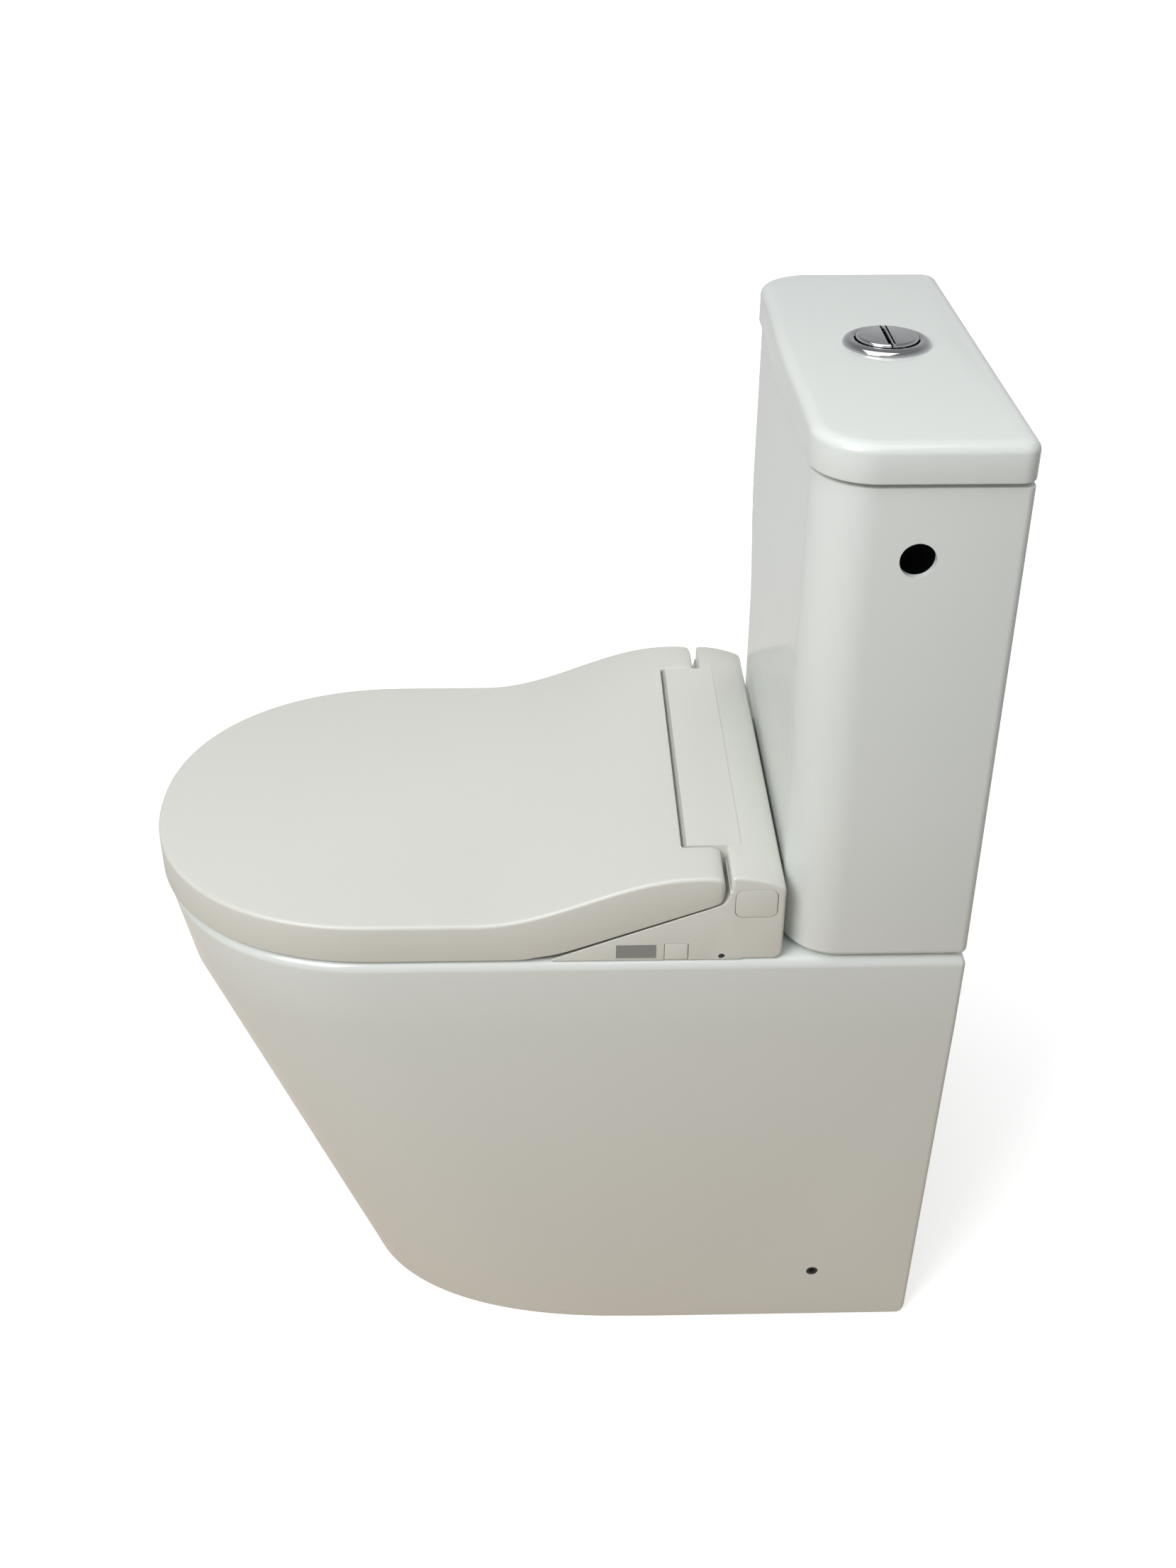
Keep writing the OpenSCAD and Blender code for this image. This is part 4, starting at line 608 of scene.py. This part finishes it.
combine(pan, [solid("bowl", basin + [basin[-1] + [0, 0, 2]]),
              sweep("bore", TRAP, TRAP_BORE),
              rod("outlet", (0, out_y - 8, OUT_Z), (0, 5, OUT_Z), OUTLET_BORE, 96),
              block("channel", (-38, -279, 340), (38, VALVE_Y, 376)),
              rod("cup", (0, VALVE_Y, 340), (0, VALVE_Y, 420), 42, 96),
              rod("recess", (0, VALVE_Y, 390), (0, VALVE_Y, 420), 50, 96)] + holes)
done(pan, "pan_skirt", "pan_deck", "pan_bowl", "pan_trapway", "pan_flush_channel")

# %% [markdown]
# ## The cistern
#
# A box with round front corners and a small round lower edge, whose front
# leans out by a few millimetres towards the top, where a small step leaves a
# dark line under the lid. The hole in each side is where a side valve would go.

# %%
TANK_W, TANK_FOOT, TANK_TOP = PAN_W, 415, 795
LEAN, LEAN_Z0, LEAN_Z1 = 3.5, 540, 670
PORT_Y, PORT_Z, PORT_R = -72, 741, 12.25


def tank_ring(z, i=0.0, e=0.0, lean=0.0):
    """Outline of the cistern at height z, its wall i thick and its edge drawn in by e."""
    return at(tank(TANK_W - 2 * i - 2 * e, 0.5 + i + e / 2, 138 + lean - i - e, 40 - i, 6), z)


rise = np.linspace(0, 1, 7)[1:]
outer = [tank_ring(TANK_FOOT + d, e=i) for i, d in fillet(5, 8)][::-1] + [tank_ring(LEAN_Z0)]
outer += [tank_ring(LEAN_Z0 + (LEAN_Z1 - LEAN_Z0) * t, lean=LEAN * t * t * (3 - 2 * t))
          for t in rise]
outer += [tank_ring(TANK_TOP - d, e=e, lean=LEAN)
          for d, e in ((4, 0), (3.5, 0.5), (3.5, 5), (0, 5))]
body = solid("cistern_china", outer)
ports = [rod("port", (s * 165, PORT_Y, PORT_Z), (s * 190, PORT_Y, PORT_Z), PORT_R, 64)
         for s in SIDES]
ports += [rod("thin", (s * 165, PORT_Y, PORT_Z), (s * 177, PORT_Y, PORT_Z), 17, 64)
          for s in SIDES]
floor_holes = [rod("hole", (x, VALVE_Y, TANK_FOOT - 5), (x, VALVE_Y, TANK_FOOT + 15), r)
               for x, r in ((0, 30.5), (-75, 6), (75, 6), (-120, 11.4))]
water = [tank_ring(TANK_FOOT + 12 + d, CHINA, e=i) for i, d in fillet(3, 4)][::-1]
water += [tank_ring(TANK_TOP + 5, CHINA)]
combine(body, [solid("water", water)] + ports + floor_holes)
done(body, "cistern_body")

# %% [markdown]
# The lid is a shallow tray turned over. Its front swells by under 3 mm, its
# top falls by 3 mm towards both ends, and two ribs keep it in place.

# %%
LID_W, LID_TOP, LID_CROWN = 372, 825, 3


def tank_lid(i):
    """Outline of the lid, inset by i."""
    return tank(LID_W, 0, 144, 42, 12, inset=i, bow=2.8)


def crowned(x):
    """Height of the lid's top: top - crown (2x / width)^2."""
    return LID_TOP - LID_CROWN * (np.asarray(x) / (LID_W / 2)) ** 2


lid = solid("cistern_lid_china",
            [at(tank_lid(i), TANK_TOP + 0.3 + d) for i, d in fillet(1, 3)][::-1]
            + [at(tank_lid(i), crowned(tank_lid(i)[:, 0]) - d) for i, d in fillet(7.5, 10, 1.2)],
            last=lambda x, y: crowned(x), step=12)
combine(lid, [prism("tray", tank_lid(9), TANK_TOP - 5, LID_TOP - 9)])
combine(lid, [block("rib", (-91, y, TANK_TOP - 11), (91, y + 5, LID_TOP - 8))
              for y in (-126, -17.5)], "UNION")
combine(lid, [rod("eye", (0, VALVE_Y, 780), (0, VALVE_Y, 830), 26, 96)])
done(lid, "cistern_lid")

# %% [markdown]
# ## The flush buttons
#
# A chrome ring turned on a lathe, round a pair of half-round buttons. The
# ring's slope is a quarter ellipse that starts flush with the lid.

# %%
slope = arc(0, 0, 1, 0, 115, 20) * [5.6, 4.4] + [26.1, LID_TOP]
ring_profile = np.concatenate([[[23.7, 791], [25.5, 791], [25.5, LID_TOP]], slope,
                               [[22.9, 827.6], [22.9, LID_TOP], [23.7, 824]]])
rose = lathe("button_rose", ring_profile, (0, VALVE_Y), 160)
combine(rose, [rod("floor", (0, VALVE_Y, 798), (0, VALVE_Y, 801), 24.5, 96)], "UNION")
combine(rose, [rod("eye", (x, y, 790), (x, y, 805), 3.3) for x, y in (FULL_ROD, HALF_ROD)])
done(rose, "button_ring")

BUTTON_R, BUTTON_TOP, BUTTON_EDGE = 22.4, 831.6, 2.1


def button(name, side, x, y):
    """Half of a disc with a soft edge; side -1 is in front.

    Under it are a boss for its rod, at x, y, and a seat for the spring round the boss.
    """
    a = 1.2 if side > 0 else 181.2
    half = arc(0, VALVE_Y, BUTTON_R, a, a + 177.6, 64)
    cap = solid(name, [at(half, BUTTON_TOP - 2.2)]
                + [at(inset(half, i), BUTTON_TOP - d) for i, d in fillet(BUTTON_EDGE, 8)])
    combine(cap, [rod("seat", (x, y, 829), (x, y, 830.6), 5.2)])
    combine(cap, [rod("boss", (x, y, 824.5), (x, y, 831), 3.6)], "UNION")
    return combine(cap, [rod("eye", (x, y, 823), (x, y, 829.5), 3.05)])


done(button("full_button", -1, *FULL_ROD), "full_flush_button")
done(button("half_button", 1, *HALF_ROD), "half_flush_button")

# %% [markdown]
# ## The seat lid
#
# Seen from the side, the top runs level and then swells up to the hinge along
# half a cosine wave; the lower edge of the two ears climbs in a straight
# line. Both are height rules over one outline.

# %%
SEAT_HALF_W, SEAT_START, SEAT_FRONT = 181, 445, 632
HEM_Z, HEM_BLEND = 413.5, 2.5
CREST_FRONT, CREST_BACK = 446, 487


def round_end(past, r):
    """Height lost to a quarter round of radius r at the back: r - sqrt(r^2 - past^2)."""
    return r - np.sqrt(np.clip(r * r - np.clip(past, 0, r) ** 2, 0, None))


def crest(y):
    """Top of the lid: its front height, plus the rise to the hinge times (1 - cos) / 2."""
    d = -np.asarray(y, float)
    s = np.clip((372 - d) / 168, 0, 1)
    rise = (CREST_BACK - CREST_FRONT) * (1 - np.cos(np.pi * s)) / 2
    return CREST_FRONT + rise - round_end(193 - d, 8)


def hem(y):
    """Lower edge: level, then the line of the ears, blended by b ln(1 + exp(t / b)).

    A small arch of 2.4 mm where the line leaves the rim frees the tip of the housing.
    """
    d = -np.asarray(y, float)
    arch = 0.96 * np.exp(-((d - 326) / 12) ** 2)
    line = (ear_line(d) - HEM_Z) / HEM_BLEND + arch
    return HEM_Z + HEM_BLEND * np.logaddexp(0, line) + round_end(192 - d, 7)


for y in (-600, -400, -300, -200):
    print(f"at y = {y} the lid runs from {hem(y):.1f} to {crest(y):.1f}")

# %% [markdown]
# Seen from above, the lid is a D with a slot between two ears. Its hollow is
# the same D a wall further in, which runs out through the slot.

# %%
EAR_BACK, SLOT_HALF_W, SLOT_Y = -185, 139, -215


def lid_outline():
    """D shape with a slot between two ears at the back, all corners round."""
    ear = (SEAT_HALF_W - 4, EAR_BACK - 4)
    lip = (SLOT_HALF_W + 2, EAR_BACK - 2)
    root = (SLOT_HALF_W - 3, SLOT_Y + 3)
    return dense(np.concatenate([
        nose(SEAT_HALF_W, SEAT_START, SEAT_FRONT, 2.15),
        arc(-ear[0], ear[1], 4, 180, 90, 6), arc(-lip[0], lip[1], 2, 90, 0, 5),
        arc(-root[0], root[1], 3, 180, 270, 6), arc(*root, 3, 270, 360, 6),
        arc(*lip, 2, 180, 90, 5), arc(*ear, 4, 90, 0, 6)]), 6)


def lid_hollow():
    """The space inside the lid."""
    x, y, neck = SEAT_HALF_W - SHELL, EAR_BACK - SHELL, SLOT_HALF_W + 3.5
    left = np.array([[-x, y], [-neck, y], [-neck, SLOT_Y - 7], [-SLOT_HALF_W, SLOT_Y - 7],
                     [-SLOT_HALF_W, SLOT_Y + 10]])
    return dense(np.concatenate([nose(x, SEAT_START, SEAT_FRONT - SHELL, 2.15), left,
                                 left[::-1] * [-1, 1]]), 6)


loop = lid_outline()
in_slot = (np.abs(loop[:, 0]) < SLOT_HALF_W + 2.5) & (loop[:, 1] > SLOT_Y - 2)
edge = np.where(in_slot, 1.5, 3.0)
rings = []
for i, d in fillet(1.0, 3)[::-1]:
    ring = inset(loop, i)
    rings.append(at(ring, hem(ring[:, 1]) + d))
for i, d in fillet(1.0, 8):
    ring = inset(loop, edge * i)
    rings.append(at(ring, crest(ring[:, 1]) - edge * d))
seat_lid = solid("seat_lid_shell", rings, first=lambda x, y: hem(y), last=lambda x, y: crest(y))
print("seat lid before hollowing:", len(seat_lid.data.polygons), "faces")

# %% [markdown]
# Each ear keeps a gap for the ring's arm, and a boss with an eye for the pin.

# %%
BOSS_R, PIN_EYE_R = 8.2, 4.55

hollow = lid_hollow()
combine(seat_lid, [solid("hollow", [at(hollow, 400), at(hollow, crest(hollow[:, 1]) - SHELL)],
                         last=lambda x, y: crest(y) - SHELL)])
combine(seat_lid, [block("gap", (a, HINGE[0], 440), (b, -180, HINGE[1]))
                   for a, b in (span(s, 142.5, 158) for s in SIDES)])
bosses = [rod("boss", (s * 158, *HINGE), (s * 179.5, *HINGE), BOSS_R) for s in SIDES]
bosses += [block("web", (a, HINGE[0] - 2, 473), (b, HINGE[0] + 2, 486))
           for a, b in (span(s, 158, 179.5) for s in SIDES)]
combine(seat_lid, bosses, "UNION")
combine(seat_lid, [rod("eye", (s * 138, *HINGE), (s * 171.3, *HINGE), PIN_EYE_R) for s in SIDES])
done(seat_lid, "seat_lid")

# %% [markdown]
# ## The seat ring
#
# An upper moulding with a soft inner edge and two arms up to the hinge, and a
# flat cover let into its underside.

# %%
RING_LOW, RING_TOP, RING_HALF_W, NECK_HALF_W = 417, 437, 175.5, 156


def ring_outline(i=0.0):
    """Outline of the ring; its shoulders step in to clear the housing."""
    t = np.linspace(0, 1, 9)[1:-1]
    step = t * t * (3 - 2 * t)
    left = np.column_stack([-RING_HALF_W + (RING_HALF_W - NECK_HALF_W) * step, -345 + 30 * t])
    left = np.concatenate([left, [[-NECK_HALF_W, -315], [-NECK_HALF_W, -269]]])
    return inset(dense(np.concatenate([nose(RING_HALF_W, SEAT_START, 626.5, 2.15), left,
                                       left[::-1] * [-1, 1]]), 8), i)


def opening(grow):
    """The hole through the ring."""
    return oval(105 + grow, 136 + grow, 2.2, centre=-437)


ring = solid("seat_ring_top",
             [at(ring_outline(i), RING_LOW + d) for i, d in fillet(1.5, 3)][::-1]
             + [at(ring_outline(i), RING_TOP - d) for i, d in fillet(6, 8)])
ARM_TILT, ARM_R = 24.5, 6
capsule = np.concatenate([arc(*HINGE, ARM_R, ARM_TILT - 90, ARM_TILT + 90, 16),
                          arc(-299, 427, ARM_R, ARM_TILT + 90, ARM_TILT + 270, 16)])
lug = arc(*HINGE, BOSS_R, 0, 354, 59)
arms = [along_x("arm", capsule, *span(s, 144, 156), edge=1.5) for s in SIDES]
arms += [along_x("lug", lug, *span(s, 144, 156), edge=1.0) for s in SIDES]
combine(ring, arms, "UNION")
print("ring with its arms:", len(ring.data.polygons), "faces")

# %% [markdown]
# The cover of the ring follows the recess under it with 0.1 mm of play.

# %%
COVER_TOP = 420

hole = [at(opening(2), 410)] + [at(opening(d), RING_LOW + i) for i, d in fillet(2, 4)]
hole += [at(opening(d), RING_TOP - i) for i, d in fillet(9, 10)[::-1]] + [at(opening(9), 440)]
recess = combine(prism("recess", ring_outline(3), 410, COVER_TOP),
                 [prism("core", opening(3), 405, 425),
                  block("relief", (-31, -437, 405), (31, -265, 425)),
                  block("root", (142, -299, 405), (157, -260, 425)),
                  block("root", (-157, -299, 405), (-142, -260, 425))])
combine(ring, [solid("hole", hole), recess, block("relief", (-28, -437, 410), (28, -265, 427))]
        + [rod("eye", (s * 143, *HINGE), (s * 157, *HINGE), PIN_EYE_R) for s in SIDES])
done(ring, "seat_ring")

base = prism("seat_ring_cover", ring_outline(3.1), RING_LOW, COVER_TOP, foot=0.4)
combine(base, [prism("core", opening(3.1), 405, 425),
               block("relief", (-31.1, -437, 405), (31.1, -265, 425)),
               block("root", (141.9, -299.1, 405), (158, -260, 425)),
               block("root", (-158, -299.1, 405), (-141.9, -260, 425))])
done(base, "seat_ring_base")

# %% [markdown]
# ## The housing of the wash unit
#
# Four profiles drawn along X: the crowned back that spans the whole width,
# the middle that slopes down to the bowl, and on each side a wedge that
# follows the edge of the lid's ear, with a round bay for the hinge.

# %%
COVER_HALF_W, BAY_R, EAR_GAP = 180, 15.5, 3.1


def cover_parts(t=0.0):
    """The solids that join into the cover; t draws the space inside its walls."""
    y = np.linspace(-145, -177, 14)
    top = 487 - 9.5 * ((y + 180.5) / 40.5) ** 2
    back = np.concatenate([arc(-147, 419, 7, -90, 0, 6), arc(-146, HINGE[1], 6, 0, 75, 5),
                           np.column_stack([y, top]),
                           [[-179.5, 486.3], [-180.5, 485], [-180.5, 412]]])
    s = np.linspace(0, 1, 12)[:, None]
    slope = (1 - s) ** 2 * [-211.5, 484.5] + 2 * s * (1 - s) * [-226, 463] + s * s * [-258, 441]
    middle = np.concatenate([[[-170, 412], [-170, 487], [-209.5, 487], [-211, 486.3]], slope,
                             [[-262, 437.5], [-263, 434], [-263, 412]]])
    bay = arc(*HINGE, BAY_R + t, 0, -47, 10)

    def wedge(d):
        """Side view of a wedge that follows the ear to depth d."""
        return np.concatenate([[[-170, PAN_H], [-170, HINGE[1]]], bay,
                               [[-d, ear_line(d, EAR_GAP)], [-d, PAN_H]]])

    def part(profile, x0, x1, edge):
        """A profile drawn from x0 to x1, or the space a wall t within it, open below."""
        p = dense(profile, 30)
        if not t:
            return along_x("cover", p, x0, x1, edge)
        p = inset(p, t)
        p[p[:, 1] < PAN_H + 4, 1] = PAN_H - 4
        return along_x("space", p, x0 + t, x1 - t)

    out = [part(back, -COVER_HALF_W, COVER_HALF_W, 2.5), part(middle, -137.5, 137.5, 0)]
    for s in SIDES:
        out.append(part(wedge(263), *span(s, 130, 160 + 2 * t), 0))
        out.append(part(wedge(313), *span(s, 158, COVER_HALF_W), 0.6))
    return out


def cap_shape(grow=0.0):
    """The rounded rectangle of the side cap, grown on every side."""
    g = grow
    return np.concatenate([arc(-171, 457, 6 + g, 180, 270, 8), arc(-152, 457, 6 + g, -90, 0, 8),
                           arc(-152, 469.5, 6 + g, 0, 90, 8), arc(-171, 469.5, 6 + g, 90, 180, 8)])


cover = cover_parts()
cover = combine(cover[0], cover[1:], "UNION")
combine(cover, cover_parts(SHELL))
print("cover before cutting:", len(cover.data.polygons), "faces")

# %% [markdown]
# Into the cover go a slot for the wands, a groove along each wedge that keeps
# the edge of the ear dark, seats for the side caps and the release button,
# and a small port at the near end.

# %%
RELEASE = np.array([[-228.5, 412.3], [-211, 412.3], [-211, 426.8], [-228.5, 426.8]])
BUZZER = (-185.5, 415)

cuts = [block("slot", (-20, -270, 405), (20, -257, 438)),
        along_x("release", inset(RELEASE, -0.4), 176, 185),
        rod("port", (175, *BUZZER), (185, *BUZZER), 2.5)]
groove = np.array([[-196, 470], [-196, 455.4], [-309, 413], [-330, 413], [-330, 425]])
cuts += [along_x("groove", groove, *span(s, 162.8, 178.8)) for s in SIDES]
cuts += [along_x("cap", cap_shape(0.4), *span(s, 176, 185)) for s in SIDES]
cuts += [rod("eye", (s * 130, *HINGE), (s * 139, *HINGE), 5.5) for s in SIDES]
combine(cover, cuts)
done(cover, "housing_cover", look="gloss_plastic")

caps = along_x("side_caps", cap_shape(), 175.7, COVER_HALF_W, edge=0.5)
combine(caps, [along_x("cap", cap_shape(), -COVER_HALF_W, -175.7, edge=0.5)], "UNION")
done(caps, "housing_side_caps", look="gloss_plastic")

# %% [markdown]
# Two small dark parts have no CAD node, and both are painted shade that stands in
# for the shadow inside holes: a black disc at the floor of the port, and dark rings
# in the foot that the floor screws pass through.

# %%
# The black disc at the floor of the port is painted shade: a dark piece standing in for the shadow
# inside the hole.
trim(rod("port_painted_shade", (177, *BUZZER), (178.8, *BUZZER), 2.45), "black_plastic")

# The dark rings in both foot holes are painted shade, standing in for the shadow inside the holes;
# the floor screws pass through their eyes.
sleeve_r = FIXING_R - 0.05
sleeves = rod("fixing_sleeves", (160, *FIXING), (167.7, *FIXING), sleeve_r)
combine(sleeves, [rod("sleeve", (-167.7, *FIXING), (-160, *FIXING), sleeve_r)], "UNION")
combine(sleeves, [rod("eye", (-170, *FIXING), (170, *FIXING), 2.6)])
trim(sleeves, "rubber")
print("sleeves:", len(sleeves.data.polygons), "faces")

# %% [markdown]
# The release button is a pad on a stem that reaches into the housing.

# %%
push = along_x("release_pad", dense(RELEASE, 4), 177.2, COVER_HALF_W, edge=0.6)
combine(push, [block("stem", (163.2, -223.8, 414), (178, -215.8, 419))], "UNION")
done(push, "release_button", look="gloss_plastic")

# %% [markdown]
# ## The room
#
# Soft panels overhead, beside the camera and behind light the suite at a plain
# level. Rays that go straight to the eye see a white room; chrome and glaze
# see it a shade darker.

# %%
def panel(name, place, aim, size, power):
    """An area light of power watts, at place and facing aim, in metres."""
    lamp = bpy.data.lights.new(name, "AREA")
    lamp.shape, lamp.size, lamp.size_y, lamp.energy = "RECTANGLE", size[0], size[1], power
    obj = bpy.data.objects.new(name, lamp)
    obj.location = place
    obj.rotation_euler = (Vector(aim) - Vector(place)).to_track_quat("-Z", "Y").to_euler()
    bpy.context.scene.collection.objects.link(obj)
    return obj


def math(tree, how, *values):
    """A math node; each value is a number or a socket."""
    node = tree.nodes.new("ShaderNodeMath")
    node.operation = how
    for slot, value in zip(node.inputs, values):
        if isinstance(value, (int, float)):
            slot.default_value = value
        else:
            tree.links.new(value, slot)
    return node.outputs[0]


def to_the_eye(tree):
    """1 on camera rays, 0.42 on glossy and transmission rays, 0 on the rays that carry light."""
    ray = tree.nodes.new("ShaderNodeLightPath").outputs
    shiny = math(tree, "MAXIMUM", ray["Is Glossy Ray"], ray["Is Transmission Ray"])
    return math(tree, "MAXIMUM", ray["Is Camera Ray"], math(tree, "MULTIPLY", shiny, 0.42))


panel("overhead", (0.7, -0.3, 2.2), (0, 0, 0.4), (1.8, 1.8), 17)
panel("side", (1.7, -1.35, 2.2), (0, 0, 0.5), (1.4, 1.4), 39)
fill = panel("behind", (-2.1, 1.7, 1.6), (0, 0, 0.5), (1.6, 1.8), 24)
fill.visible_glossy = False

# %% [markdown]
# The floor is warm near the suite and grey further off, which tints the foot
# of the pan. To the eye it is white paint with a little glow of its own, which
# grows with the distance, so that only the soft shadow under the suite shows.

# %%
bpy.ops.mesh.primitive_plane_add(size=60, location=(0, 0, 0))
floor = bpy.context.object
floor.name = "floor"
floor.data.materials.append(finish("studio_floor", "#DCD6CB", 0.9))
tree = floor.data.materials[0].node_tree
skin = tree.nodes["Principled BSDF"]
away = tree.nodes.new("ShaderNodeVectorMath")
away.operation = "LENGTH"
tree.links.new(tree.nodes.new("ShaderNodeTexCoord").outputs["Object"], away.inputs[0])
metres = away.outputs["Value"]
tint = tree.nodes.new("ShaderNodeValToRGB")
tint.color_ramp.elements[0].position, tint.color_ramp.elements[1].position = 0.2, 0.5
tint.color_ramp.elements[0].color = colour("#B89C7A")
tint.color_ramp.elements[1].color = colour("#A5A7A5")
tree.links.new(math(tree, "MULTIPLY", metres, 0.33), tint.inputs["Fac"])
paint = tree.nodes.new("ShaderNodeMixRGB")
paint.inputs["Color2"].default_value = (1, 1, 1, 1)
tree.links.new(tint.outputs["Color"], paint.inputs["Color1"])
tree.links.new(to_the_eye(tree), paint.inputs["Fac"])
tree.links.new(paint.outputs["Color"], skin.inputs["Base Color"])
lift = math(tree, "MINIMUM", math(tree, "MULTIPLY_ADD", metres, 0.2, 0.42), 0.9)
tree.links.new(math(tree, "MULTIPLY", to_the_eye(tree), lift), skin.inputs["Emission Strength"])
skin.inputs["Emission Color"].default_value = (1, 1, 1, 1)
print("floor:", [round(v) for v in floor.dimensions[:2]], "m")

# %% [markdown]
# The world is white up to just over the horizon and fades to a grey ceiling,
# so that chrome and glaze have something to show.

# %%
world = bpy.data.worlds.new("studio")
world.use_nodes = True
sky = world.node_tree
back = sky.nodes["Background"]
back.inputs["Color"].default_value = (1, 1, 1, 1)
split = sky.nodes.new("ShaderNodeSeparateXYZ")
sky.links.new(sky.nodes.new("ShaderNodeTexCoord").outputs["Generated"], split.inputs[0])
shade = sky.nodes.new("ShaderNodeMapRange")
for key, value in {"From Min": 0.1, "From Max": 0.7, "To Min": 0.8, "To Max": 0.1}.items():
    shade.inputs[key].default_value = value
sky.links.new(split.outputs["Z"], shade.inputs["Value"])
glow = math(sky, "MULTIPLY", to_the_eye(sky), shade.outputs["Result"])
sky.links.new(math(sky, "ADD", glow, 0.2), back.inputs["Strength"])
bpy.context.scene.world = world
bpy.context.scene.view_settings.view_transform = "Standard"
print("world:", world.name, "with", len(sky.nodes), "nodes")

# %% [markdown]
# ## The camera
#
# It stands on the side of the release button, about 1.2 m away and as high,
# and looks down by 32.6 degrees.

# %%
lens = bpy.data.cameras.new("camera")
lens.lens, lens.sensor_width = 39.89, 36
eye = bpy.data.objects.new("camera", lens)
eye.location = (1.20818, -0.31181 + WALL / 1000, 1.22651)
eye.rotation_euler = np.radians((57.44, -0.17, 88.69))
bpy.context.scene.collection.objects.link(eye)
bpy.context.scene.camera = eye
print("camera at", [round(v, 2) for v in eye.location], "m with a lens of", round(lens.lens), "mm")
